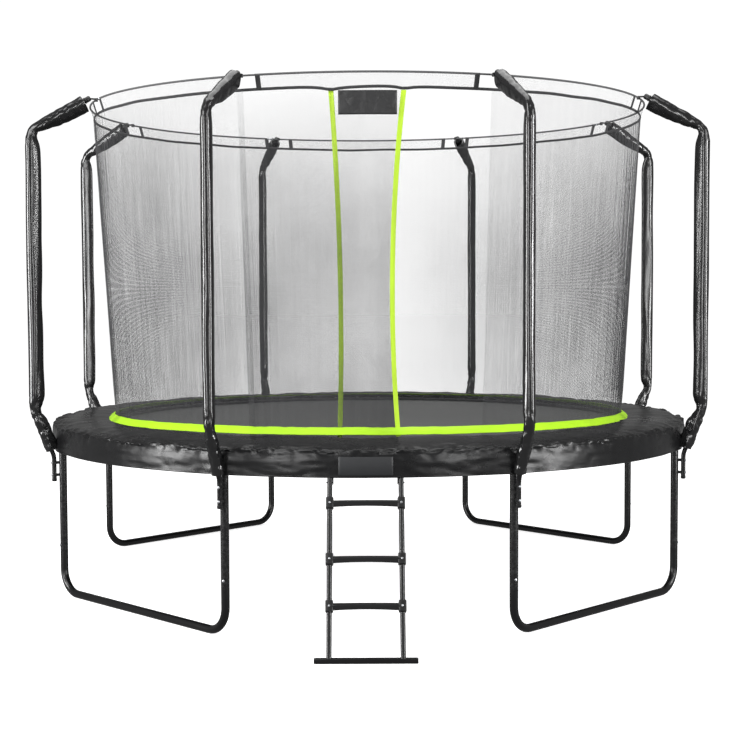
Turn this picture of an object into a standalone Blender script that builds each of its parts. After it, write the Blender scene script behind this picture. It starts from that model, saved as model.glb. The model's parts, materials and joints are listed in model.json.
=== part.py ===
"""Round backyard trampoline with a safety net and a ladder, one object for each piece.

Metres, +Z up. The ladder and the net's entrance face -Y. Azimuths are measured about the
trampoline's axis from the front, and grow towards +X. Pieces that repeat around the ring are
placed by the empty of their station, whose local +X points straight out from the axis.
"""

from math import atan2, cos, degrees, pi, radians, sin, tan

import bmesh
import bpy
from mathutils import Matrix, Vector

# Overall sizes
FRAME_RADIUS = 1.83  # axis to the centre line of the round top frame
FRAME_HEIGHT = 0.885  # ground to the frame's centre line
HOOP_HEIGHT = 2.735  # ground to the hoop that holds the net open

# Steel tubes of the frame and legs
POLE_COUNT = 8
FRAME_TUBE = 0.021  # outer radius
FRAME_WALL = 0.002
SWAGE_LENGTH = 0.06  # narrowed end that slips into the next tube
SWAGE_TAPER = 0.004
SLIP_GAP = 0.0006  # round a narrowed end, and between tube ends
BORE_EXTRA = 0.01  # how far a cutter reaches past the end that it opens
RAIL_STEPS = 6  # straight stretches in each frame rail
SOCKET_LENGTH = 0.09  # leg socket welded under each rail, below the rail's centre line
SOCKET_WALL = 0.0025
LEG_JOINT_HEIGHT = 0.25
LEG_BEND_RADIUS = 0.125
TUBE_SIDES = 8
BEND_STEPS = 3

# Net poles and their padded sleeves
POLE_TUBE = 0.0125
POLE_WALL = 0.0016
POLE_GAP = 0.0145  # between a leg and the pole bolted outside it
POLE_FOOT_DROP = 0.245  # foot below the frame's centre line
POLE_SLANT_DROP = 0.110  # where the pole starts to lean out, below the frame's centre line
POLE_UPRIGHT_RISE = 0.155  # where it stands upright again, above the frame's centre line
POLE_OFFSET = 0.150  # upright stretch, outside the frame's centre line
POLE_JOINT_HEIGHT = 1.74
POLE_SHOULDER_DROP = 0.185  # the shoulder's corner, below the hoop
POLE_TIP_INSET = 0.171  # tip, inside the frame's centre line
POLE_TIP_RISE = 0.004
SHOULDER_RADIUS = 0.09
POLE_BEND_RADIUS = 0.09
SLEEVE_RADIUS = 0.0275
SLEEVE_GAP = 0.0012  # round the pole
SLEEVE_FOOT_DROP = 0.065  # sleeve's foot below the frame's centre line
SLEEVE_TIP_GAP = 0.035  # bare pole at the tip

# Jumping mat, springs and safety pad
MAT_LIFT = 0.015  # mat's middle layer above the frame's centre line
MAT_THICKNESS = 0.006
SPRING_LENGTH = 0.178
SPRING_COUNT = 72
SPRING_RADIUS = 0.006
RING_RADIUS = 0.003  # the row of V-rings that the springs hook into
SPRING_GAP = 0.0015
PAD_WIDTH = 0.337
PAD_THICKNESS = 0.024
PAD_LIFT = 0.038  # pad's underside above the frame's centre line
SKIRT_OUT = 0.015  # skirt's outer face outside the frame tube
SKIRT_WALL = 0.004
SKIRT_DROP = 0.085  # skirt's hem below the frame's centre line
PAD_ROUNDING = 0.012
RING_STEPS = 64  # straight stretches in a whole turn of the soft pieces

# Safety net, with its two overlapping entrance flaps
NET_FOOT_INSET = 0.34  # inside the frame's centre line
NET_TOP_INSET = 0.235
NET_WALL = 0.004
NET_LIFT = 0.006  # net's hem above the mat
HEM_DROP = 0.07  # net's upper hem below the hoop
HOOP_INSET = 0.213
HOOP_RADIUS = 0.005
FLAP_GAP = 0.010  # between the net's wall and a flap
FLAP_END_AZIMUTH = 22.5  # where the net's wall ends and a flap starts
FLAP_OVERLAP_AZIMUTH = 5.3  # how far each flap reaches past the middle
NET_STEP = 7.5  # degrees in each flat stretch

# Ladder
LADDER_OFFSET = -0.018  # middle of the ladder beside the trampoline's middle
RAIL_SPACING = 0.3365
LADDER_TUBE = 0.0125
LADDER_WALL = 0.0015
LADDER_REACH = 0.35  # foot bar outside the frame's centre line
FOOT_LENGTH = 0.468
FOOT_SIZE = 0.025
PIVOT_DROP = 0.108  # ladder's pivot below the frame's centre line
RAIL_TOP_OVER_PIVOT = 0.043
STEP_DROPS = (0.646, 0.445, 0.200)  # treads below the frame's centre line
TREAD_DEPTH = 0.040
TREAD_HEIGHT = 0.022
TREAD_WALL = 0.003
COLLAR_HEIGHT = 0.055  # moulded collars that hold the treads on the rails
COLLAR_WIDTH = 0.035
HOOK_PLATE = 0.005
HOOK_WIDTH = 0.007
HOOK_GAP = 0.001
HOOK_EYE = 0.010
HOOK_START = -15  # degrees above level, where the hook's arc ends outside the frame tube
HOOK_SWEEP = 195
HOOK_STEPS = 9
EYE_SIDES = 12
PIN_RADIUS = 0.003
PIN_CLEARANCE = 0.0004
TOUCH = 0.0003  # between touching pieces
WELD = 1e-5  # corners closer than this are one
SHARP_EDGE = 50  # degrees, from which an edge is shaded sharp

STATION = 2 * pi / POLE_COUNT
SIDE_SHARE = cos(pi / TUBE_SIDES)  # a faceted tube's flat sides lie this share of its radius out


def clear_scene():
    for obj in list(bpy.data.objects):
        bpy.data.objects.remove(obj, do_unlink=True)


def new_collection(name):
    collection = bpy.data.collections.new(name)
    bpy.context.scene.collection.children.link(collection)
    return collection


def make_material(name, colour, roughness, metallic=0.0):
    material = bpy.data.materials.new(name)
    material.use_nodes = True
    shader = material.node_tree.nodes["Principled BSDF"]
    shader.inputs["Base Color"].default_value = (*colour, 1.0)
    shader.inputs["Roughness"].default_value = roughness
    shader.inputs["Metallic"].default_value = metallic
    return material


clear_scene()
parts = new_collection("trampoline")
cutters = new_collection("cutters")

STEEL = make_material("powder_coated_steel", (0.035, 0.036, 0.038), 0.42, 0.2)
PLASTIC = make_material("step_plastic", (0.035, 0.036, 0.038), 0.6)
VINYL = make_material("black_vinyl", (0.022, 0.022, 0.024), 0.3)
MAT_CLOTH = make_material("woven_mat", (0.055, 0.056, 0.055), 0.75)
ZINC = make_material("zinc_plated_steel", (0.6, 0.61, 0.62), 0.35, 1.0)
NET_CLOTH = make_material("net_mesh", (0.05, 0.05, 0.055), 0.8)
ROD = make_material("glass_fibre_rod", (0.06, 0.06, 0.065), 0.5)


# ---- shared shapes -------------------------------------------------------------------------


def place(obj, parent, location=(0, 0, 0), rotation=(0, 0, 0)):
    obj.parent = parent
    obj.location = location
    obj.rotation_euler = rotation
    return obj


def new_empty(name, parent=None, location=(0, 0, 0), turn=0.0):
    empty = bpy.data.objects.new(name, None)
    parts.objects.link(empty)
    return place(empty, parent, location, (0, 0, turn))


def station_empty(name, parent, azimuth):
    """An empty on the trampoline's axis whose local +X points out at the azimuth."""
    return new_empty(name, parent, turn=azimuth - pi / 2)


def add_part(name, data, material, parent, location=(0, 0, 0), rotation=(0, 0, 0)):
    obj = bpy.data.objects.new(name, data)
    parts.objects.link(obj)
    if not data.materials:
        data.materials.append(material)
    return place(obj, parent, location, rotation)


def tube_curve(name, route, radius, capped):
    """A curve with a round bevel. The route holds (point, share of the radius)."""
    curve = bpy.data.curves.new(name, "CURVE")
    curve.dimensions = "3D"
    curve.bevel_depth = radius
    curve.bevel_resolution = TUBE_SIDES // 2 - 2
    curve.use_fill_caps = capped
    spline = curve.splines.new("POLY")
    spline.points.add(len(route) - 1)
    for point, (place_on_route, share) in zip(spline.points, route):
        point.co = (*place_on_route, 1.0)
        point.radius = share
        point.tilt = pi / TUBE_SIDES
    spline.use_smooth = True
    return curve


def add_solidify(obj, thickness):
    shell = obj.modifiers.new("wall", "SOLIDIFY")
    shell.thickness = thickness
    shell.offset = -1
    return shell


def evaluated_mesh(obj):
    """A welded mesh of the object as its modifiers leave it."""
    bpy.context.view_layer.update()
    graph = bpy.context.evaluated_depsgraph_get()
    mesh = bpy.data.meshes.new_from_object(obj.evaluated_get(graph))
    shape = bmesh.new()
    shape.from_mesh(mesh)
    bmesh.ops.remove_doubles(shape, verts=shape.verts, dist=WELD)
    bmesh.ops.recalc_face_normals(shape, faces=shape.faces)
    shape.to_mesh(mesh)
    shape.free()
    mesh.shade_smooth()
    mesh.set_sharp_from_angle(angle=radians(SHARP_EDGE))
    return mesh


def hidden_object(name, data):
    obj = bpy.data.objects.new(name, data)
    cutters.objects.link(obj)
    obj.hide_render = True
    obj.display_type = "WIRE"
    return obj


def mesh_of_curve(curve, wall=None):
    """The curve as a mesh, hollowed to the wall's thickness when one is given."""
    helper = hidden_object(curve.name, curve)
    if wall:
        add_solidify(helper, wall)
    mesh = evaluated_mesh(helper)
    bpy.data.objects.remove(helper)
    return mesh


def combined(base, others, operation):
    """The base mesh joined with, or cut by, each of the other meshes."""
    helper = hidden_object(base.name, base)
    for mesh in others:
        tool = hidden_object(mesh.name, mesh)
        change = helper.modifiers.new(operation.lower(), "BOOLEAN")
        change.operation = operation
        change.object = tool
    mesh = evaluated_mesh(helper)
    for change in list(helper.modifiers):
        bpy.data.objects.remove(change.object)
    bpy.data.objects.remove(helper)
    return mesh


def cylinder_mesh(name, radius, ends, sides=TUBE_SIDES):
    """A capped cylinder between two points."""
    start, end = (Vector(point) for point in ends)
    shape = bmesh.new()
    bmesh.ops.create_cone(
        shape, cap_ends=True, segments=sides, radius1=radius, radius2=radius,
        depth=(end - start).length,
    )
    turn = (end - start).to_track_quat("Z", "Y").to_matrix().to_4x4()
    half_side = Matrix.Rotation(pi / sides, 4, "Z")
    bmesh.ops.transform(
        shape, matrix=Matrix.Translation((start + end) / 2) @ turn @ half_side, verts=shape.verts
    )
    mesh = bpy.data.meshes.new(name)
    shape.to_mesh(mesh)
    shape.free()
    return mesh


def box_mesh(name, low, high):
    low, high = Vector(low), Vector(high)
    shape = bmesh.new()
    bmesh.ops.create_cube(shape, size=1)
    size = high - low
    grow = Matrix.Diagonal((size.x, size.y, size.z, 1))
    bmesh.ops.transform(
        shape, matrix=Matrix.Translation((low + high) / 2) @ grow, verts=shape.verts
    )
    mesh = bpy.data.meshes.new(name)
    shape.to_mesh(mesh)
    shape.free()
    return mesh


def rounded_corner(before, corner, after, radius, steps=BEND_STEPS):
    """Points of the arc that rounds a corner between two straight stretches."""
    before, corner, after = Vector(before), Vector(corner), Vector(after)
    inward, outward = (before - corner).normalized(), (after - corner).normalized()
    half_angle = inward.angle(outward) / 2
    centre = corner + (inward + outward).normalized() * (radius / sin(half_angle))
    first = corner + inward * (radius / tan(half_angle)) - centre
    last = corner + outward * (radius / tan(half_angle)) - centre
    sweep = first.angle(last)
    return [
        centre + (first * sin(sweep * (1 - t)) + last * sin(sweep * t)) / sin(sweep)
        for t in (step / steps for step in range(steps + 1))
    ]


def narrowed_share(radius, wall):
    """The share of a tube's radius that slips inside the same tube's bore, however it is turned."""
    return ((radius - wall) * SIDE_SHARE - SLIP_GAP) / radius


def swaged_end(start, end, share):
    """Route points of a narrowed end that runs from start to end."""
    start, end = Vector(start), Vector(end)
    neck = start - (end - start).normalized() * SWAGE_TAPER
    return [(neck, 1.0), (start, share), (end, share)]


# ---- top frame and legs --------------------------------------------------------------------


def rail_route(extra=0.0):
    """One frame rail across local +X, with the narrowed end that enters the next rail."""
    angle_step = STATION / RAIL_STEPS
    corners = [
        Vector((FRAME_RADIUS * cos(angle), FRAME_RADIUS * sin(angle), FRAME_HEIGHT))
        for angle in (angle_step * (n - RAIL_STEPS / 2) for n in range(RAIL_STEPS + 2))
    ]
    share = narrowed_share(FRAME_TUBE, FRAME_WALL)
    along = (corners[-1] - corners[-2]).normalized()
    first_step = (corners[1] - corners[0]).normalized()
    route = [(corners[0] + first_step * (SLIP_GAP - extra), 1.0)]
    route += [(corner, 1.0) for corner in corners[1:-2]]
    joint = corners[-2]
    back = (corners[-3] - joint).normalized()
    neck = back * (FRAME_TUBE * tan(angle_step) + 2 * SLIP_GAP)
    route += [(joint + neck, 1.0), (joint, share)]
    route.append((joint + along * (SWAGE_LENGTH + extra), share))
    return route


def frame_rail_mesh():
    """A bent rail with a leg socket welded under its middle, both bored through."""
    solid = mesh_of_curve(tube_curve("rail_solid", rail_route(), FRAME_TUBE, True))
    socket_radius = (FRAME_TUBE + SLIP_GAP) / SIDE_SHARE + SOCKET_WALL
    middle = (FRAME_RADIUS, 0, FRAME_HEIGHT)
    mouth = (FRAME_RADIUS, 0, FRAME_HEIGHT - SOCKET_LENGTH)
    joined = combined(
        solid, [cylinder_mesh("socket", socket_radius, (mouth, middle))], "UNION"
    )
    bore = [
        (point, share - FRAME_WALL / FRAME_TUBE) for point, share in rail_route(extra=BORE_EXTRA)
    ]
    rail_bore = mesh_of_curve(tube_curve("rail_bore", bore, FRAME_TUBE, True))
    socket_bore = cylinder_mesh(
        "socket_bore",
        socket_radius - SOCKET_WALL,
        (
            (FRAME_RADIUS, 0, FRAME_HEIGHT - SOCKET_LENGTH - SOCKET_WALL),
            (FRAME_RADIUS, 0, post_top_height() + SLIP_GAP),
        ),
    )
    return combined(joined, [rail_bore, socket_bore], "DIFFERENCE")


def post_top_height():
    return FRAME_HEIGHT - FRAME_TUBE - SLIP_GAP


def leg_post_mesh():
    route = [
        ((0, 0, LEG_JOINT_HEIGHT + SLIP_GAP), 1.0),
        ((0, 0, post_top_height()), 1.0),
    ]
    return mesh_of_curve(tube_curve("leg_post", route, FRAME_TUBE, False), FRAME_WALL)


def leg_base_mesh():
    """The U-shaped foot that joins two posts. Local +X points out from the ring's axis."""
    depth = FRAME_RADIUS * cos(STATION / 2)
    half = FRAME_RADIUS * sin(STATION / 2)
    ground = FRAME_TUBE * SIDE_SHARE
    share = narrowed_share(FRAME_TUBE, FRAME_WALL)
    left_top, right_top = (depth, -half, LEG_JOINT_HEIGHT), (depth, half, LEG_JOINT_HEIGHT)
    left, right = (depth, -half, ground), (depth, half, ground)
    up = Vector((0, 0, SWAGE_LENGTH))
    bends = rounded_corner(left_top, left, right, LEG_BEND_RADIUS)
    bends += rounded_corner(left, right, right_top, LEG_BEND_RADIUS)
    route = swaged_end(left_top, Vector(left_top) + up, share)[::-1]
    route += [(point, 1.0) for point in bends]
    route += swaged_end(right_top, Vector(right_top) + up, share)
    return mesh_of_curve(tube_curve("leg_base", route, FRAME_TUBE, False), FRAME_WALL)


# ---- net poles and sleeves -----------------------------------------------------------------


def pole_corners():
    """Corners of a whole pole in its station's local XZ plane, from foot to tip."""
    low = FRAME_RADIUS + FRAME_TUBE + POLE_GAP + POLE_TUBE
    upright = FRAME_RADIUS + POLE_OFFSET
    return [
        Vector((low, 0, FRAME_HEIGHT - POLE_FOOT_DROP)),
        Vector((low, 0, FRAME_HEIGHT - POLE_SLANT_DROP)),
        Vector((upright, 0, FRAME_HEIGHT + POLE_UPRIGHT_RISE)),
        Vector((upright, 0, HOOP_HEIGHT - POLE_SHOULDER_DROP)),
        Vector((FRAME_RADIUS - POLE_TIP_INSET, 0, HOOP_HEIGHT + POLE_TIP_RISE)),
    ]


def pole_bends():
    """The rounded stretches of the pole: slant, upright and shoulder."""
    foot, slant, upright, shoulder, tip = pole_corners()
    return (
        rounded_corner(foot, slant, upright, POLE_BEND_RADIUS, 1),
        rounded_corner(slant, upright, shoulder, POLE_BEND_RADIUS, 1),
        rounded_corner(upright, shoulder, tip, SHOULDER_RADIUS),
    )


def pole_joint():
    return Vector((FRAME_RADIUS + POLE_OFFSET, 0, POLE_JOINT_HEIGHT))


def pole_lower_mesh():
    foot = pole_corners()[0]
    slant, upright, _ = pole_bends()
    route = [(point, 1.0) for point in [foot, *slant, *upright]]
    joint = pole_joint()
    top = joint + Vector((0, 0, SWAGE_LENGTH))
    route += swaged_end(joint, top, narrowed_share(POLE_TUBE, POLE_WALL))
    return mesh_of_curve(tube_curve("pole_lower", route, POLE_TUBE, False), POLE_WALL)


def pole_upper_mesh():
    start = pole_joint() + Vector((0, 0, SLIP_GAP))
    route = [(point, 1.0) for point in [start, *pole_bends()[2], pole_corners()[-1]]]
    return mesh_of_curve(tube_curve("pole_upper", route, POLE_TUBE, False), POLE_WALL)


def sleeve_mesh():
    """The foam tube round a pole, in its cover."""
    slant, upright, shoulder = pole_bends()
    tip = pole_corners()[-1]
    sleeve_foot = FRAME_HEIGHT - SLEEVE_FOOT_DROP
    reach = (sleeve_foot - slant[-1].z) / (upright[0].z - slant[-1].z)
    foot = slant[-1].lerp(upright[0], reach)
    end = tip + (shoulder[-1] - tip).normalized() * SLEEVE_TIP_GAP
    route = [(point, 1.0) for point in [foot, *upright, *shoulder, end]]
    bore = POLE_TUBE + SLEEVE_GAP / SIDE_SHARE
    curve = tube_curve("pole_sleeve", route, SLEEVE_RADIUS, False)
    return mesh_of_curve(curve, SLEEVE_RADIUS - bore)


# ---- mat, springs and pad ------------------------------------------------------------------


def mat_height():
    return FRAME_HEIGHT + MAT_LIFT


def mat_radius():
    return FRAME_RADIUS - FRAME_TUBE - SPRING_LENGTH


def turned(name, profile, material, parent):
    """A closed ring: a closed profile in local XZ, outer side first and downwards."""
    mesh = bpy.data.meshes.new(name)
    outline = bmesh.new()
    corners = [outline.verts.new(Vector((radius, 0, height))) for radius, height in profile]
    for first, second in zip(corners, corners[1:] + corners[:1]):
        outline.edges.new((first, second))
    outline.to_mesh(mesh)
    outline.free()
    obj = add_part(name, mesh, material, parent)
    spin = obj.modifiers.new("turn", "SCREW")
    spin.steps = spin.render_steps = RING_STEPS
    spin.use_merge_vertices = True
    spin.merge_threshold = WELD
    return obj


def add_jump_mat(parent):
    name = "jump_mat"
    mesh = cylinder_mesh(
        name, mat_radius(), ((0, 0, -MAT_THICKNESS / 2), (0, 0, MAT_THICKNESS / 2)), RING_STEPS
    )
    return add_part(name, mesh, MAT_CLOTH, parent, (0, 0, mat_height()))


def add_spring_set(parent):
    """Every spring as a plain bar, joined at the mat by the row of V-rings."""
    outer = (FRAME_RADIUS - FRAME_TUBE) * cos(STATION / RAIL_STEPS / 2) - SPRING_GAP
    inner = (mat_radius() + RING_RADIUS) / cos(pi / SPRING_COUNT) + TOUCH
    shape = bmesh.new()
    turn_over = Matrix.Rotation(pi / 2, 4, "Y")
    for index in range(SPRING_COUNT):
        turn = Matrix.Rotation(2 * pi * index / SPRING_COUNT, 4, "Z")
        move = Matrix.Translation(((outer + inner) / 2, 0, 0))
        bmesh.ops.create_cone(
            shape, cap_ends=True, segments=4, radius1=SPRING_RADIUS, radius2=SPRING_RADIUS,
            depth=outer - inner, matrix=turn @ move @ turn_over,
        )
    bars = bpy.data.meshes.new("spring_bars")
    shape.to_mesh(bars)
    shape.free()
    ring_route = [
        ((inner * cos(angle), inner * sin(angle), 0), 1.0)
        for angle in (2 * pi * n / SPRING_COUNT for n in range(SPRING_COUNT))
    ]
    curve = tube_curve("v_rings", ring_route, RING_RADIUS, False)
    curve.bevel_resolution = 0
    curve.splines[0].use_cyclic_u = True
    mesh = combined(bars, [mesh_of_curve(curve)], "UNION")
    mesh.name = "spring_set"
    return add_part("spring_set", mesh, ZINC, parent, (0, 0, mat_height()))


def add_safety_pad(parent):
    under = FRAME_HEIGHT + PAD_LIFT
    top = under + PAD_THICKNESS
    outer = FRAME_RADIUS + FRAME_TUBE + SKIRT_OUT
    inner = outer - PAD_WIDTH
    hem = FRAME_HEIGHT - SKIRT_DROP
    profile = [
        (outer - PAD_ROUNDING, top),
        (outer, top - PAD_ROUNDING),
        (outer, hem),
        (outer - SKIRT_WALL, hem),
        (outer - SKIRT_WALL, under),
        (inner, under),
        (inner, top),
    ]
    return turned("safety_pad", profile, VINYL, parent)


# ---- net -----------------------------------------------------------------------------------


def net_band(name, first, last, offset, top, parent):
    """A stretch of the net's wall between two azimuths in degrees, on the trampoline's axis."""
    foot = mat_height() + MAT_THICKNESS / 2 + NET_LIFT
    columns = max(2, round((last - first) / NET_STEP) + 1)
    mesh = bpy.data.meshes.new(name)
    sheet = bmesh.new()
    rows = []
    levels = (
        (FRAME_RADIUS - NET_FOOT_INSET + offset, foot),
        (FRAME_RADIUS - NET_TOP_INSET + offset, top),
    )
    for radius, height in levels:
        angles = (radians(first + (last - first) * n / (columns - 1)) for n in range(columns))
        rows.append(
            [sheet.verts.new((radius * sin(a), -radius * cos(a), height)) for a in angles]
        )
    for low_pair, high_pair in zip(zip(rows[0], rows[0][1:]), zip(rows[1], rows[1][1:])):
        sheet.faces.new((low_pair[0], low_pair[1], high_pair[1], high_pair[0]))
    sheet.to_mesh(mesh)
    sheet.free()
    obj = add_part(name, mesh, NET_CLOTH, parent)
    add_solidify(obj, NET_WALL)
    return obj


def add_net(centre):
    hem = HOOP_HEIGHT - HEM_DROP
    wall_end = degrees(2 * pi) - FLAP_END_AZIMUTH
    net_band("net_wall", FLAP_END_AZIMUTH, wall_end, 0.0, hem, centre)
    outer_pivot = new_empty("outer_flap_pivot", centre)
    net_band(
        "net_flap_outer", -FLAP_END_AZIMUTH, FLAP_OVERLAP_AZIMUTH, FLAP_GAP, hem, outer_pivot
    )
    inner_pivot = new_empty("inner_flap_pivot", centre)
    net_band(
        "net_flap_inner", -FLAP_OVERLAP_AZIMUTH, FLAP_END_AZIMUTH, -FLAP_GAP, hem, inner_pivot
    )


def add_top_hoop(parent):
    radius = FRAME_RADIUS - HOOP_INSET
    route = [
        ((radius * sin(angle), -radius * cos(angle), HOOP_HEIGHT), 1.0)
        for angle in (2 * pi * n / RING_STEPS for n in range(RING_STEPS))
    ]
    curve = tube_curve("top_hoop", route, HOOP_RADIUS, False)
    curve.bevel_resolution = 1
    curve.splines[0].use_cyclic_u = True
    return add_part("top_hoop", mesh_of_curve(curve), ROD, parent)


# ---- ladder --------------------------------------------------------------------------------


def frame_depth(offset):
    """How far out the faceted frame's centre line is, this far beside its front joint."""
    angle = STATION / RAIL_STEPS
    corner = FRAME_RADIUS * sin(angle)
    return FRAME_RADIUS * (1 - min(abs(offset) / corner, 1) * (1 - cos(angle)))


def pivot_depth():
    farthest = max(frame_depth(LADDER_OFFSET + side * RAIL_SPACING / 2) for side in (-1, 1))
    return farthest + FRAME_TUBE + HOOK_GAP + HOOK_WIDTH / 2


def ladder_lean():
    """Angle of the ladder's rails from upright."""
    drop = FRAME_HEIGHT - PIVOT_DROP - FOOT_SIZE / 2
    return atan2(FRAME_RADIUS + LADDER_REACH - pivot_depth(), drop)


def rail_length():
    """From the pivot down to the foot bar's middle."""
    return (FRAME_HEIGHT - PIVOT_DROP - FOOT_SIZE / 2) / cos(ladder_lean())


def hook_mesh(side):
    """A flat hook over the frame, with an eye and pin that carry one ladder rail.

    Local X is along the pivot and towards -X, Y points out, with the pivot at the origin.
    """
    rail = side * RAIL_SPACING / 2
    inner_face = rail - side * (LADDER_TUBE + TOUCH)
    middle = inner_face - side * HOOK_PLATE / 2
    frame_out = frame_depth(LADDER_OFFSET - middle) - pivot_depth()
    frame_up = PIVOT_DROP
    inner_arc = FRAME_TUBE + HOOK_GAP
    outer_arc = inner_arc + HOOK_WIDTH
    sweep = [
        radians(HOOK_START + HOOK_SWEEP * n / HOOK_STEPS) for n in range(HOOK_STEPS + 1)
    ]
    outline = [
        (frame_out + outer_arc * cos(angle), frame_up + outer_arc * sin(angle)) for angle in sweep
    ]
    outline += [
        (frame_out + inner_arc * cos(angle), frame_up + inner_arc * sin(angle))
        for angle in reversed(sweep)
    ]
    tang_in = frame_out + inner_arc
    outline += [(tang_in, 0.0), (tang_in + HOOK_WIDTH, 0.0)]
    curve = bpy.data.curves.new("hook", "CURVE")
    curve.dimensions = "2D"
    curve.fill_mode = "BOTH"
    curve.extrude = HOOK_PLATE / 2
    spline = curve.splines.new("POLY")
    spline.points.add(len(outline) - 1)
    for point, (out, up) in zip(spline.points, outline):
        point.co = (out, up, 0, 1)
    spline.use_cyclic_u = True
    plate = mesh_of_curve(curve)
    stand_up = Matrix(((0, 0, 1, middle), (1, 0, 0, 0), (0, 1, 0, 0), (0, 0, 0, 1)))
    plate.transform(stand_up)
    half_eye = HOOK_PLATE / 2 - TOUCH
    eye_ends = ((middle - half_eye, 0, 0), (middle + half_eye, 0, 0))
    eye = cylinder_mesh("eye", HOOK_EYE, eye_ends, EYE_SIDES)
    far_face = rail + side * (LADDER_TUBE + HOOK_PLATE)
    pin = cylinder_mesh("pin", PIN_RADIUS, ((middle, 0, 0), (far_face, 0, 0)))
    return combined(plate, [eye, pin], "UNION")


def foot_bar_mesh(name, spare=0.0):
    """The square foot bar, or with spare its cutter, in the frame of the leaning rails."""
    half = Vector((FOOT_LENGTH, FOOT_SIZE, FOOT_SIZE)) / 2 + Vector((spare, spare, spare))
    bar = box_mesh(name, -half, half)
    level = Matrix.Rotation(-ladder_lean(), 4, "X")
    bar.transform(Matrix.Translation((0, 0, -rail_length())) @ level)
    return bar


def ladder_rail_mesh(side):
    """One rail along local Z, drilled for the pivot's pin and cut to stand on the foot bar."""
    rail = side * RAIL_SPACING / 2
    route = [((rail, 0, -rail_length()), 1.0), ((rail, 0, RAIL_TOP_OVER_PIVOT), 1.0)]
    tube = mesh_of_curve(tube_curve("ladder_rail", route, LADDER_TUBE, False), LADDER_WALL)
    reach = LADDER_TUBE + BORE_EXTRA
    ends = ((rail - reach, 0, 0), (rail + reach, 0, 0))
    hole = cylinder_mesh("pin_hole", (PIN_RADIUS + PIN_CLEARANCE) / SIDE_SHARE, ends)
    return combined(tube, [hole, foot_bar_mesh("foot_cutter", TOUCH)], "DIFFERENCE")


def ladder_step_mesh(drop):
    """A folded tread between two collars that are threaded on the rails."""
    along = (drop - PIVOT_DROP) / cos(ladder_lean())
    half, deep = RAIL_SPACING / 2, TREAD_DEPTH / 2
    inside = half - COLLAR_WIDTH / 2
    tread = box_mesh(
        "tread",
        (-inside - TOUCH, -deep, -along - TREAD_HEIGHT / 2),
        (inside + TOUCH, deep, -along + TREAD_HEIGHT / 2),
    )
    hollow = box_mesh(
        "tread_hollow",
        (-inside, TREAD_WALL - deep, -along - TREAD_HEIGHT),
        (inside, deep - TREAD_WALL, -along + TREAD_HEIGHT / 2 - TREAD_WALL),
    )
    collars, bores = [], []
    for rail in (-half, half):
        low = (rail - COLLAR_WIDTH / 2, -COLLAR_WIDTH / 2, -along - COLLAR_HEIGHT / 2)
        high = (rail + COLLAR_WIDTH / 2, COLLAR_WIDTH / 2, -along + COLLAR_HEIGHT / 2)
        collars.append(box_mesh("collar", low, high))
        ends = ((rail, 0, -along - COLLAR_HEIGHT), (rail, 0, -along + COLLAR_HEIGHT))
        bores.append(cylinder_mesh("collar_bore", LADDER_TUBE + TOUCH / SIDE_SHARE, ends))
    return combined(combined(tread, collars, "UNION"), [hollow, *bores], "DIFFERENCE")


def add_ladder(centre):
    pivot = Vector((LADDER_OFFSET, -pivot_depth(), FRAME_HEIGHT - PIVOT_DROP))
    hook_frame = new_empty("ladder_hooks", centre, pivot, pi)
    for side, label in ((1, "left"), (-1, "right")):
        add_part(f"ladder_hook_{label}", hook_mesh(side), STEEL, hook_frame)
    lean = new_empty("ladder_pivot", centre, pivot, pi)
    lean.rotation_euler = (ladder_lean(), 0, pi)
    for side, label in ((1, "left"), (-1, "right")):
        add_part(f"ladder_rail_{label}", ladder_rail_mesh(side), STEEL, lean)
    for index, drop in enumerate(STEP_DROPS, 1):
        add_part(f"ladder_step_{index}", ladder_step_mesh(drop), PLASTIC, lean)
    add_part("ladder_foot", foot_bar_mesh("ladder_foot"), STEEL, lean)


# ---- the whole trampoline ------------------------------------------------------------------


def add_ring_pieces(centre):
    rail, post = frame_rail_mesh(), leg_post_mesh()
    lower, upper, sleeve = pole_lower_mesh(), pole_upper_mesh(), sleeve_mesh()
    for index in range(POLE_COUNT):
        number = index + 1
        station = station_empty(f"station_{number}", centre, STATION * (index + 0.5))
        add_part(f"frame_rail_{number}", rail, STEEL, station)
        add_part(f"leg_post_{number}", post, STEEL, station, (FRAME_RADIUS, 0, 0))
        add_part(f"pole_lower_{number}", lower, STEEL, station)
        add_part(f"pole_upper_{number}", upper, STEEL, station)
        add_part(f"pole_sleeve_{number}", sleeve, VINYL, station)


def add_leg_bases(centre):
    base = leg_base_mesh()
    for index in range(POLE_COUNT // 2):
        station = station_empty(f"leg_station_{index + 1}", centre, STATION * (2 * index + 1))
        add_part(f"leg_base_{index + 1}", base, STEEL, station)


def main():
    front = FRAME_RADIUS + LADDER_REACH + FOOT_SIZE / 2
    back = FRAME_RADIUS + FRAME_TUBE + SKIRT_OUT
    centre = new_empty("trampoline_axis", None, (0, (front - back) / 2, 0))
    add_ring_pieces(centre)
    add_leg_bases(centre)
    mat_pivot = new_empty("mat_slide", centre)
    add_jump_mat(mat_pivot)
    add_spring_set(centre)
    add_safety_pad(centre)
    add_net(centre)
    add_top_hoop(centre)
    add_ladder(centre)


main()
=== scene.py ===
"""Looks of a backyard trampoline with a safety net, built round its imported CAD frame.

Metres, +Z up. The entrance faces -Y. Azimuths are measured about the trampoline's axis from the
front, and grow towards +X. A repeated piece is modelled at azimuth 0, then turned to its place.
"""

import json
from math import asin, atan2, ceil, cos, degrees, exp, pi, radians, sin, tan

import bpy
from mathutils import Matrix, Vector, noise


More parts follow.
